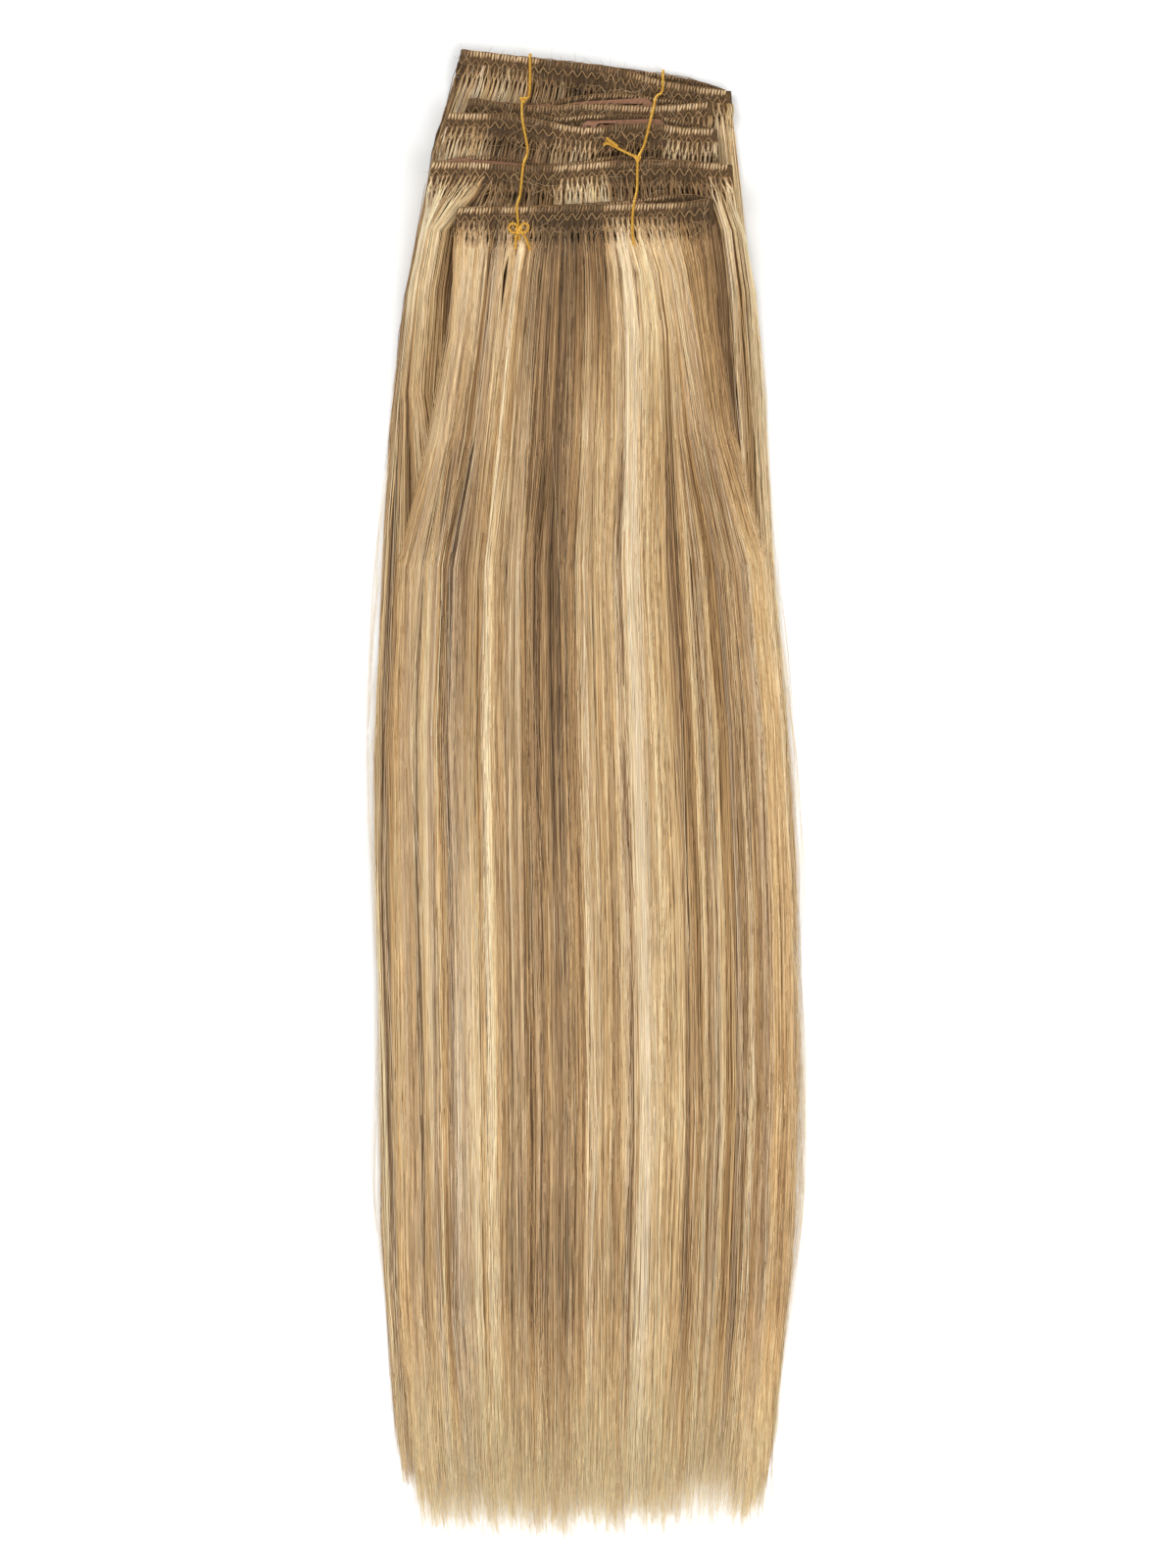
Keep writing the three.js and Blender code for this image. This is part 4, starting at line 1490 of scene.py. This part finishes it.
@dataclass
class BandWork:
    """One folded band: its cloth, the overcast edge, the zigzag threads and short cross hairs."""

    weft: Weft
    stations: int = 110
    fold_stations: int = 9
    stitch_pitch: float = 1.15
    stitch_girth: float = 0.43
    zigzag_pitch: float = 3.65
    zigzag_points: int = 260
    front_hairs: int = 520
    rear_hairs: int = 200
    rear_end: float = 0.78
    profile: tuple[tuple[float, float], ...] = ((0.0, 0.35), (0.012, 0.8), (0.06, 1.0),
                                                (0.35, 0.9), (1.0, 0.66))

    def __post_init__(self) -> None:
        """Starts the band's own random numbers."""
        self.random = np.random.default_rng(300 + self.weft.number)

    @property
    def radius(self) -> float:
        """Radius of the fold at the middle of the wall."""
        return (BUNDLE.band_height - BUNDLE.band_wall) / 2

    def tone(self, along: Array) -> Array:
        """Tone of the hair that the band holds."""
        return np.interp(along, column(self.weft.tones, "at"), column(self.weft.tones, "tone"))

    def build_cloth(self, material: bpy.types.Material) -> bpy.types.Object:
        """The band itself, folded at its right end."""
        flat = np.linspace(0, 1, self.stations, endpoint=False)
        along = np.concatenate([flat, np.ones(self.fold_stations), flat[::-1]])
        turn = np.concatenate([np.zeros(self.stations), np.linspace(0, 1, self.fold_stations),
                               np.ones(self.stations)])
        rear = BUNDLE.edge_y(self.weft, along, Layer.REAR)
        front = BUNDLE.edge_y(self.weft, along, Layer.FRONT)
        edge = rear + (front - rear) * turn
        angle = math.pi * (turn - 0.5)
        middle = BUNDLE.band_z(self.weft) + BUNDLE.band_height / 2
        section = [(1, *row) for row in self.profile] + [(-1, *row) for row in self.profile[::-1]]
        rings = []
        for side, depth, half in section:
            out = self.radius + side * half * BUNDLE.band_wall / 2
            rings.append(np.stack([
                BUNDLE.hung_x(self.weft, along, np.full_like(along, depth * BUNDLE.band_depth))
                + np.cos(angle) * out,
                edge - depth * BUNDLE.band_depth,
                middle + np.sin(angle) * out,
            ], -1))
        points = np.stack(rings, 1)
        count, size = points.shape[:2]
        index = np.arange(count * size).reshape(count, size)
        after = np.roll(index, -1, axis=1)
        skin = np.stack([index[:-1], index[1:], after[1:], after[:-1]], -1).reshape(-1, 4)
        mesh = bpy.data.meshes.new(f"band_{self.weft.number}_cloth")
        ends = [index[0].tolist(), index[-1, ::-1].tolist()]
        mesh.from_pydata((points.reshape(-1, 3) * MM).tolist(), [], skin.tolist() + ends)
        mesh.shade_smooth()
        mesh.materials.append(material)
        # Painted shade: the rear layer is darker than the front, lightening round the fold.
        tone = np.repeat((0.02 + 0.05 * self.tone(along)) * (0.3 + 0.7 * turn), size)
        write_floats(mesh, {"tone": tone, "warmth": np.full(count * size, 0.5)})
        return linked(mesh.name, mesh)

    def build_binding(self, material: bpy.types.Material) -> bpy.types.Object:
        """Overcast stitches over both layers' edges."""
        parts = [self.overcast(layer) for layer in Layer]
        name = f"band_{self.weft.number}_binding"
        return tubes(name, Lines.joined(parts), material, sides=6)

    def overcast(self, layer: Layer) -> Lines:
        """The stitches along one layer's edge."""
        width = BUNDLE.band_x(self.weft, 1.0) - BUNDLE.band_x(self.weft, 0.0)
        count = int(width / self.stitch_pitch)
        along = (np.arange(count) + 0.5) / count
        along = along + self.random.normal(0, 0.08, count) / count
        edge = BUNDLE.edge_y(self.weft, along, layer)
        top = BUNDLE.layer_z(self.weft, layer)
        depth = np.array([2.5, 1.5, 0.35, -0.12, 0.5])
        rise = np.array([-0.12, 0.06, -0.02, -0.55, -1.0])
        front = layer is Layer.FRONT
        lean = self.random.normal(-0.2, 0.1, count)
        long = (1 if front else 0.55) + self.random.normal(0, 0.12, count)
        y = edge[:, None] - depth[None, :] * long[:, None]
        hung = BUNDLE.hung_x(self.weft, along[:, None], depth[None, :] + np.zeros_like(y))
        shape = [hung + lean[:, None] * (depth[None, :] - 1), y,
                 top + rise[None, :] + np.zeros_like(y)]
        girth = self.stitch_girth * np.array([0.5, 0.95, 1.0, 0.8, 0.5])[None, :]
        girth = girth * (self.random.uniform(0.75, 1, count) * (1 if front else 0.75))[:, None]
        pale = eased((self.tone(along) - 0.35) / 0.4)
        tone = 0.14 + 0.52 * pale + self.random.normal(0, 0.06, count)
        # Painted shade: the rear layer's stitches are darker and fade out towards the fold.
        tone = tone * (1 if front else 0.85 * eased((1.02 - along) / 0.25))
        # Painted shade: each stitch darkens at both ends, where it goes into the cloth and round
        # behind the edge.
        shade = np.clip(tone, 0.1, 1)[:, None] * np.array([0.4, 0.9, 1, 0.95, 0.7])[None, :]
        return Lines(np.stack(shape, -1), girth, shade, self.random.uniform(0.1, 0.6, count))

    def build_threads(self, material: bpy.types.Material) -> bpy.types.Object:
        """Zigzag threads and the straight threads along the edge, on the layers that show."""
        parts = [
            self.zigzag(Layer.FRONT, 4.2, 1.3, 0.72, 0.2),
            self.zigzag(Layer.FRONT, 9.0, 1.2, 0.6, 0.12),
            self.zigzag(Layer.REAR, 4.2, 1.3, 0.4, 0.2, end=self.rear_end),
            self.zigzag(Layer.FRONT, -0.25, 0.04, -0.12, 0.2),
            self.zigzag(Layer.REAR, -0.25, 0.04, -0.12, 0.2),
        ]
        return tubes(f"band_{self.weft.number}_threads", Lines.joined(parts), material)

    def zigzag(self, layer: Layer, depth: float, swing: float, rise: float, girth: float,
               end: float = 0.996) -> Lines:
        """One thread along a layer.

        Args:
            layer: The layer that it is sewn on.
            depth: Its distance below the bound edge.
            swing: How far it swings to each side.
            rise: Its height over the layer's face.
            girth: Its radius.
            end: Where along the band it ends.

        Returns:
            The thread as one line.
        """
        points = self.zigzag_points
        along = np.linspace(0.004, end, points)
        x = BUNDLE.hung_x(self.weft, along, np.full(points, depth))
        phase = x / self.zigzag_pitch
        tooth = 1 - 4 * np.abs(phase - np.floor(phase) - 0.5)
        tooth = np.sign(tooth) * np.abs(tooth) ** 0.9
        drift = np.interp(x, np.linspace(x[0], x[-1], 40), self.random.normal(0, 0.14, 40))
        y = BUNDLE.edge_y(self.weft, along, layer) - depth + swing * tooth * (1 + drift) + drift
        z = np.full(points, BUNDLE.layer_z(self.weft, layer) + rise)
        tone = 0.34 if swing > 0.5 else 0.2
        shade = tone + np.interp(x, np.linspace(x[0], x[-1], 60), self.random.normal(0, 0.05, 60))
        warmth = np.array([0.6])
        return Lines(np.stack([x, y, z], -1)[None], np.full((1, points), girth), shade[None], warmth)

    def build_cross_hairs(self, material: bpy.types.Material) -> bpy.types.Object:
        """Short dark and golden hairs that the machine has caught under the threads."""
        parts = []
        for layer in Layer:
            front = layer is Layer.FRONT
            count, end = (self.front_hairs, 1.0) if front else (self.rear_hairs, self.rear_end)
            knots = np.linspace(-0.5, 0.5, 4)
            along = self.random.random(count) * end
            down = self.random.uniform(2.4, 6.2, count)
            x0 = BUNDLE.hung_x(self.weft, along, down)
            y0 = BUNDLE.edge_y(self.weft, along, layer) - down
            lean = self.random.choice([-1, 1], count) * self.random.uniform(0.05, 0.5, count)
            angle = math.pi / 2 + lean
            length = self.random.uniform(1.4, 3.4, count)
            x = x0[:, None] + length[:, None] * knots[None, :] * np.cos(angle)[:, None]
            y = y0[:, None] + length[:, None] * knots[None, :] * np.sin(angle)[:, None]
            rise = self.random.uniform(-0.02, 0.34, count)[:, None]
            z = BUNDLE.layer_z(self.weft, layer) + rise - 0.5 * knots[None, :] ** 2
            tone = 0.02 + 0.26 * self.tone(along) * self.random.random(count) ** 1.5
            girth = np.full_like(x, 0.12)
            girth[:, [0, -1]] = 0.06
            shade = np.clip(tone, 0.05, 1)[:, None] + np.zeros_like(x)
            warmth = self.random.uniform(0.1, 0.8, count)
            parts.append(Lines(np.stack([x, y, z], -1), girth, shade, warmth))
        return tubes(f"band_{self.weft.number}_cross_hairs", Lines.joined(parts), material)

    def dress(self, cloth: bpy.types.Material, hair: bpy.types.Material,
              thread: bpy.types.Material) -> list[bpy.types.Object]:
        """Builds the whole band and makes it ride.

        Args:
            cloth: Material of the band itself.
            hair: Material of hair.
            thread: Material of the sewing threads.

        Returns:
            The pieces.
        """
        node = f"weft_band_{self.weft.number}"
        return [
            settle(self.build_cloth(cloth), "weft_band", node),
            settle(self.build_binding(hair), "weft_band"),
            settle(self.build_threads(thread), "weft_band"),
            settle(self.build_cross_hairs(hair), "weft_band"),
        ]


# Clips


@dataclass
class SnapClip:
    """A closed snap clip: a drop-shaped pressed frame with a sprung tongue and an eye."""

    length: float = 32.0
    width: float = 8.4
    nose: float = 5.4
    plate: float = 1.0
    slot: float = 0.7
    tongue: float = 2.4
    eye: float = 1.5
    inset: float = 0.8
    turned_rise: float = 0.85
    bevel: float = 0.22

    def outline(self) -> list[list[tuple[float, float]]]:
        """The frame's outer line, the slot round the tongue, and the eye."""
        wide, nose = self.width / 2, self.nose / 2
        tail, tip = self.length / 2 - wide, nose - self.length / 2
        inner, outer = self.tongue / 2, self.tongue / 2 + self.slot
        bend = tip + nose + outer

        def arc(x: float, radius: float, start: float, end: float, steps: int = 14):
            """Points of an arc round a place on the clip's middle line."""
            angles = np.radians(np.linspace(start, end, steps))
            return [(x + radius * math.cos(a), radius * math.sin(a)) for a in angles]

        outer_line = arc(tail, wide, -90, 90) + arc(tip, nose, 90, 270)
        slot = [(tail, outer), *arc(bend, outer, 90, 270), (tail, -outer), (tail, -inner),
                *arc(bend, inner, 270, 90), (tail, inner)]
        return [outer_line, slot, arc(tip, self.eye / 2, 0, 337.5, 16)]

    def place(self, weft: Weft, along: float) -> tuple[Array, float]:
        """Middle of a clip in millimetres and its turn, under the rear layer's bound edge."""
        width = BUNDLE.band_x(weft, 1.0) - BUNDLE.band_x(weft, 0.0)
        spots = along + np.array([-1, 0, 1]) * self.length / 2 / width
        start, middle, end = BUNDLE.edge_y(weft, spots, Layer.REAR)
        y = (middle + (start + end) / 2) / 2 - self.inset - self.width / 2
        z = BUNDLE.band_z(weft) + BUNDLE.band_height / 2
        return np.array([BUNDLE.band_x(weft, along), y, z]), math.atan2(end - start, self.length)

    def build(self, weft: Weft, side: int, material: bpy.types.Material) -> bpy.types.Object:
        """One clip of a weft.

        Args:
            weft: The weft.
            side: 0 for the left clip and 1 for the right one.
            material: Its paint.

        Returns:
            The piece.
        """
        node = f"clip_{weft.number}_{('left', 'right')[side]}"
        name = f"snap_{node}"
        centre, turn = self.place(weft, weft.clips[side])
        turn += math.pi * weft.turned[side]
        centre[1] += self.turned_rise * weft.turned[side]
        flat = bpy.data.curves.new(name, "CURVE")
        flat.dimensions = "2D"
        flat.fill_mode = "BOTH"
        flat.extrude = self.plate / 2 - self.bevel
        flat.bevel_depth = self.bevel
        flat.bevel_resolution = 2
        flat.offset = -self.bevel
        for line in self.outline():
            spline = flat.splines.new("POLY")
            spline.points.add(len(line) - 1)
            spline.points.foreach_set("co", np.array([(x, y, 0, 1) for x, y in line],
                                                     np.float32).ravel())
            spline.use_cyclic_u = True
        drawn = linked(f"{name}_line", flat)
        graph = bpy.context.evaluated_depsgraph_get()
        mesh = bpy.data.meshes.new_from_object(drawn.evaluated_get(graph))
        bpy.data.objects.remove(drawn)
        points = np.zeros(len(mesh.vertices) * 3)
        mesh.vertices.foreach_get("co", points)
        points = points.reshape(-1, 3)
        bow = 0.3 * (1 - (points[:, 0] / (self.length / 2)) ** 2)
        tongue = 0.18 * (np.abs(points[:, 1]) < self.tongue / 2 + 0.05)
        points[:, 2] += bow * 0.6 - 0.1 + tongue * (np.abs(points[:, 0]) < 12)
        spin = np.array([[math.cos(turn), math.sin(turn)], [-math.sin(turn), math.cos(turn)]])
        points[:, :2] = points[:, :2] @ spin
        points = (points + centre) * MM
        mesh.vertices.foreach_set("co", points.astype(np.float32).ravel())
        mesh.materials.clear()
        mesh.materials.append(material)
        mesh.shade_smooth()
        mesh.set_sharp_from_angle(angle=math.radians(50))
        mesh.update()
        return settle(linked(name, mesh), "clip", node)


# Tie cords


@dataclass
class TieCord:
    """A twisted gold cord along a listed route, with its knots and ends."""

    name: str
    node: str
    route: tuple[tuple[float, float, float], ...]
    closed: bool
    extras: tuple[tuple[tuple[float, float, float], ...], ...]
    knots: tuple[tuple[float, float, float], ...]
    diameter: float = 1.1
    fullness: float = 1.1
    pitch: float = 1.9
    step: float = 0.26
    knot_size: float = 0.33
    knot_height: float = 0.42

    @staticmethod
    def tree() -> bpy.types.NodeTree:
        """Geometry Nodes tree of a two-ply twist along smooth lines, built on first use."""
        name = "twisted_cord"
        if name in bpy.data.node_groups:
            return bpy.data.node_groups[name]
        tree = bpy.data.node_groups.new(name, "GeometryNodeTree")
        face = tree.interface
        face.new_socket("Geometry", in_out="INPUT", socket_type="NodeSocketGeometry")
        for label, value in (("Diameter", 1.0), ("Pitch", 1.0), ("Step", 1.0)):
            socket = face.new_socket(label, in_out="INPUT", socket_type="NodeSocketFloat")
            socket.default_value = value
        face.new_socket("Material", in_out="INPUT", socket_type="NodeSocketMaterial")
        face.new_socket("Geometry", in_out="OUTPUT", socket_type="NodeSocketGeometry")
        inside, out = put(tree, "NodeGroupInput"), put(tree, "NodeGroupOutput")
        curve = put(tree, "GeometryNodeMeshToCurve")
        kind = put(tree, "GeometryNodeCurveSplineType", spline_type="CATMULL_ROM")
        even = put(tree, "GeometryNodeResampleCurve", mode="LENGTH")
        where = put(tree, "GeometryNodeSplineParameter")
        turns = put(tree, "ShaderNodeMath", operation="DIVIDE")
        angle = put(tree, "ShaderNodeMath", operation="MULTIPLY")
        angle.inputs[1].default_value = 2 * math.pi
        tilt = put(tree, "GeometryNodeSetCurveTilt")
        circle = put(tree, "GeometryNodeCurvePrimitiveCircle")
        circle.inputs["Resolution"].default_value = 6
        ply = put(tree, "ShaderNodeMath", operation="MULTIPLY")
        ply.inputs[1].default_value = 0.26
        both = put(tree, "GeometryNodeJoinGeometry")
        tube = put(tree, "GeometryNodeCurveToMesh")
        tube.inputs["Fill Caps"].default_value = True
        wire(tree,
             (inside, "Geometry", curve, "Mesh"),
             (curve, "Curve", kind, "Curve"),
             (kind, "Curve", even, "Curve"),
             (inside, "Step", even, "Length"),
             (where, "Length", turns, 0),
             (inside, "Pitch", turns, 1),
             (turns, "Value", angle, 0),
             (even, "Curve", tilt, "Curve"),
             (angle, "Value", tilt, "Tilt"),
             (inside, "Diameter", ply, 0),
             (ply, "Value", circle, "Radius"))
        for side in (0.25, -0.25):
            shift = put(tree, "ShaderNodeMath", operation="MULTIPLY")
            shift.inputs[1].default_value = side
            offset = put(tree, "ShaderNodeCombineXYZ")
            aside = put(tree, "GeometryNodeTransform")
            wire(tree,
                 (inside, "Diameter", shift, 0),
                 (shift, "Value", offset, "X"),
                 (offset, "Vector", aside, "Translation"),
                 (circle, "Curve", aside, "Geometry"),
                 (aside, "Geometry", both, "Geometry"))
        wire(tree,
             (tilt, "Curve", tube, "Curve"),
             (both, "Geometry", tube, "Profile Curve"))
        end_tree(tree, tube, inside, out)
        return tree

    def knot(self, at: tuple[float, float, float]) -> list[tuple[float, float, float]]:
        """A small overhand knot round a place."""
        points = []
        for t in np.linspace(0, 2 * math.pi, 20, endpoint=False):
            x = math.sin(t) + 2 * math.sin(2 * t)
            y = math.cos(t) - 2 * math.cos(2 * t)
            z = -math.sin(3 * t)
            points.append((at[0] + self.knot_size * x, at[1] + self.knot_size * y,
                           at[2] + self.knot_height * z))
        return points + points[:1]

    def build(self, material: bpy.types.Material) -> bpy.types.Object:
        """The cord with its knots and ends as one piece."""
        main = list(self.route) + (list(self.route[:1]) if self.closed else [])
        lines = [main, *map(list, self.extras), *(self.knot(at) for at in self.knots)]
        points, edges = [], []
        for line in lines:
            edges += [(len(points) + k, len(points) + k + 1) for k in range(len(line) - 1)]
            points += [tuple(value * MM for value in point) for point in line]
        mesh = bpy.data.meshes.new(self.name)
        mesh.from_pydata(points, edges, [])
        obj = linked(self.name, mesh)
        bake_nodes(obj, self.tree(), {
            "Diameter": self.diameter * self.fullness * MM,
            "Pitch": self.pitch * MM,
            "Step": self.step * MM,
            "Material": material,
        })
        return settle(obj, "gold_cord", self.node)


LEFT_CORD = TieCord(
    "gold_cord_left", "tie_cord_left",
    route=(
        (-25.5, 209.6, 23.2), (-25.9, 213.5, 22.8), (-26.2, 216.9, 22.8), (-25.9, 219.3, 22.0),
        (-25.2, 221.8, 19.5), (-24.8, 225.0, 18.7), (-24.1, 232.2, 18.7), (-23.5, 235.4, 18.0),
        (-22.6, 238.2, 15.1), (-22.4, 241.5, 14.6), (-23.6, 248.0, 14.6), (-24.3, 252.4, 14.6),
        (-24.4, 255.6, 12.9), (-24.4, 258.0, 11.0), (-24.0, 260.1, 8.8), (-22.7, 261.1, 7.0),
        (-21.7, 263.6, 6.4), (-21.5, 275.3, 6.6), (-21.5, 277.6, 5.9), (-21.5, 278.3, 3.6),
        (-21.5, 277.4, 1.5), (-21.6, 274.8, 0.8), (-22.4, 258.0, 0.8), (-23.6, 238.0, 0.8),
        (-24.7, 220.0, 0.8), (-25.3, 209.6, 0.9), (-25.5, 206.2, 1.7), (-25.5, 205.1, 5.0),
        (-25.5, 205.0, 12.0), (-25.5, 205.0, 18.0), (-25.5, 205.4, 21.6), (-25.5, 207.2, 23.1),
    ),
    closed=False,
    extras=(
        ((-25.5, 209.0, 23.6), (-26.6, 210.9, 24.0), (-28.3, 211.2, 23.9), (-29.2, 209.9, 23.7),
         (-28.3, 208.3, 23.6), (-26.8, 208.0, 23.7), (-25.6, 208.8, 23.8)),
        ((-25.4, 209.0, 23.7), (-24.3, 210.9, 24.1), (-22.9, 211.2, 24.0), (-21.9, 210.2, 23.8),
         (-22.4, 208.5, 23.7), (-23.8, 208.0, 23.8), (-25.4, 208.8, 23.9)),
        ((-25.9, 208.4, 23.5), (-26.6, 205.6, 23.3), (-26.7, 201.8, 23.1)),
        ((-24.9, 208.4, 23.6), (-22.7, 205.6, 23.4), (-21.3, 201.4, 23.2)),
    ),
    knots=((-24.1, 260.3, 8.8), (-25.5, 208.9, 23.6)),
)
RIGHT_CORD = TieCord(
    "gold_cord_right", "tie_cord_right",
    route=(
        (19.0, 236.3, 19.2), (18.9, 232.6, 18.7), (18.9, 227.0, 18.7), (18.7, 223.9, 19.6),
        (18.2, 221.4, 21.6), (17.6, 218.8, 22.8), (17.1, 214.5, 22.8), (17.0, 209.5, 22.8),
        (17.3, 205.2, 22.7), (17.7, 202.9, 21.0), (17.8, 202.4, 17.0), (17.8, 202.4, 10.0),
        (17.8, 202.5, 4.5), (17.8, 203.6, 1.8), (18.1, 207.0, 0.9), (20.2, 226.0, 0.8),
        (23.4, 246.0, 0.8), (26.8, 262.0, 0.8), (28.4, 268.8, 0.9), (28.9, 271.4, 1.6),
        (28.9, 272.3, 3.4), (28.9, 271.1, 5.4), (28.8, 268.4, 6.6), (28.7, 265.2, 6.5),
        (28.0, 263.0, 6.9), (26.6, 262.0, 8.4), (25.8, 260.0, 10.3), (25.3, 257.4, 11.3),
        (24.8, 254.9, 12.7),
        (24.1, 252.2, 14.0), (23.2, 248.6, 14.6), (21.6, 242.4, 14.7), (20.6, 239.8, 15.8),
        (19.7, 238.0, 17.8),
    ),
    closed=True,
    extras=(
        ((18.6, 236.8, 19.5), (15.2, 238.6, 18.8), (11.4, 240.8, 17.1), (6.9, 243.4, 15.3)),
        ((11.6, 241.4, 17.4), (9.4, 243.0, 16.9), (7.4, 244.6, 16.2)),
        ((9.0, 242.2, 16.6), (7.6, 242.6, 16.3), (6.2, 242.3, 15.7)),
    ),
    knots=((19.0, 236.5, 19.4),),
)


# Studio


@dataclass
class Studio:
    """Plain pale floor, soft light and the camera straight above the bundle."""

    floor_size: float = 4.0
    floor_z: float = -0.0002
    lens: float = 85.0
    sensor: float = 36.0
    view_long: float = 0.592
    centre: tuple[float, float, float] = (0.0004, 0.0018, 0.01)

    def build(self) -> None:
        """Sets up floor, lights and camera."""
        bpy.context.scene.view_settings.view_transform = "Standard"
        self.floor()
        self.lights()
        self.camera()

    def floor(self) -> None:
        """The surface that the bundle lies on."""
        half = self.floor_size / 2
        mesh = bpy.data.meshes.new("floor")
        corners = [(x * half, y * half, self.floor_z)
                   for x, y in ((-1, -1), (1, -1), (1, 1), (-1, 1))]
        mesh.from_pydata(corners, [], [(0, 1, 2, 3)])
        paint, shader = new_paint("floor_paper")
        shader.inputs["Base Color"].default_value = (0.93, 0.93, 0.92, 1)
        shader.inputs["Roughness"].default_value = 0.9
        shader.inputs["Specular IOR Level"].default_value = 0.1
        mesh.materials.append(paint)
        linked("floor", mesh)

    def lights(self) -> None:
        """A bright even surround and two large soft lamps."""
        world = bpy.data.worlds.new("studio")
        world.use_nodes = True
        back = world.node_tree.nodes["Background"]
        back.inputs["Color"].default_value = (1, 1, 1, 1)
        back.inputs["Strength"].default_value = 0.6
        bpy.context.scene.world = world
        for name, place, size, power in (
            ("key", (-0.9, 0.9, 1.7), 1.1, 18.4),
            ("fill", (0.9, -1.0, 1.8), 1.4, 25.5),
        ):
            data = bpy.data.lights.new(name, "AREA")
            data.size = size
            data.energy = power
            lamp = bpy.data.objects.new(name, data)
            bpy.context.scene.collection.objects.link(lamp)
            lamp.location = place
            aim = Vector(self.centre) - Vector(place)
            lamp.rotation_euler = aim.to_track_quat("-Z", "Y").to_euler()

    def camera(self) -> None:
        """The camera at the photograph's angle."""
        data = bpy.data.cameras.new("camera")
        data.lens = self.lens
        data.sensor_width = self.sensor
        data.clip_end = 20.0
        camera = bpy.data.objects.new("camera", data)
        bpy.context.scene.collection.objects.link(camera)
        away = self.view_long * self.lens / data.sensor_width
        camera.location = Vector(self.centre) + Vector((0, 0, away))
        camera.rotation_euler = (0, 0, 0)
        bpy.context.scene.camera = camera


HAIR_SEED = 40
HIDDEN_SETS = (("roots", 950, False, 0.0),)
STRAND_SETS = {
    4: (("strands", 1300, True, 0.0),),
    5: (("strands", 2060, True, 0.0), ("over", 2400, True, 1.0)),
}


def lay_hair(weft: Weft, fields: dict[int, HeightField], body: bpy.types.Material,
             hair: bpy.types.Material) -> None:
    """Makes the body and the strands of one weft.

    Args:
        weft: The weft.
        fields: Upper faces of the hair nodes, by weft number.
        body: Material of the body.
        hair: Material of the strands.
    """
    node = f"hair_{weft.number}"
    fall = HairFall(weft, fields, seed=HAIR_SEED + weft.number)
    settle(fall.build_body(body), "hair", node)
    for part, count, full, over in STRAND_SETS.get(weft.number, HIDDEN_SETS):
        strands = tubes(f"{node}_{part}", fall.build_strands(count, full, over), hair)
        settle(strands, "hair", node)


def main() -> None:
    """Builds the pieces in order."""
    logging.basicConfig(level=logging.INFO, format="%(name)s: %(message)s")
    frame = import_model()
    hair, body, band, thread = (f.material() for f in (HAIR, HAIR_BODY, BAND, THREAD))
    clip_paint, gold = CLIP.material(), GOLD.material()
    fields: dict[int, HeightField] = {}
    for weft in WEFTS:
        node = frame["nodes"][f"hair_{weft.number}"]
        fields[weft.number] = HeightField(node, fields.get(weft.number - 1))
    LOG.info("read %d hair nodes", len(fields))
    for weft in WEFTS:
        lay_hair(weft, fields, body, hair)
        LOG.info("laid the hair of weft %d", weft.number)
        BandWork(weft).dress(band, hair, thread)
        LOG.info("sewed band %d", weft.number)
    settle(SideHair(fields).build(hair), "hair")
    flyaways = Flyaways(fields)
    settle(flyaways.build_long(hair), "hair")
    settle(flyaways.build_fuzz(hair), "hair")
    for weft in WEFTS:
        for side in (0, 1):
            SnapClip().build(weft, side, clip_paint)
    LOG.info("put in the clips")
    LEFT_CORD.build(gold)
    RIGHT_CORD.build(gold)
    LOG.info("tied the cords")
    Studio().build()
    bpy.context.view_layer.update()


if __name__ == "__main__":
    main()
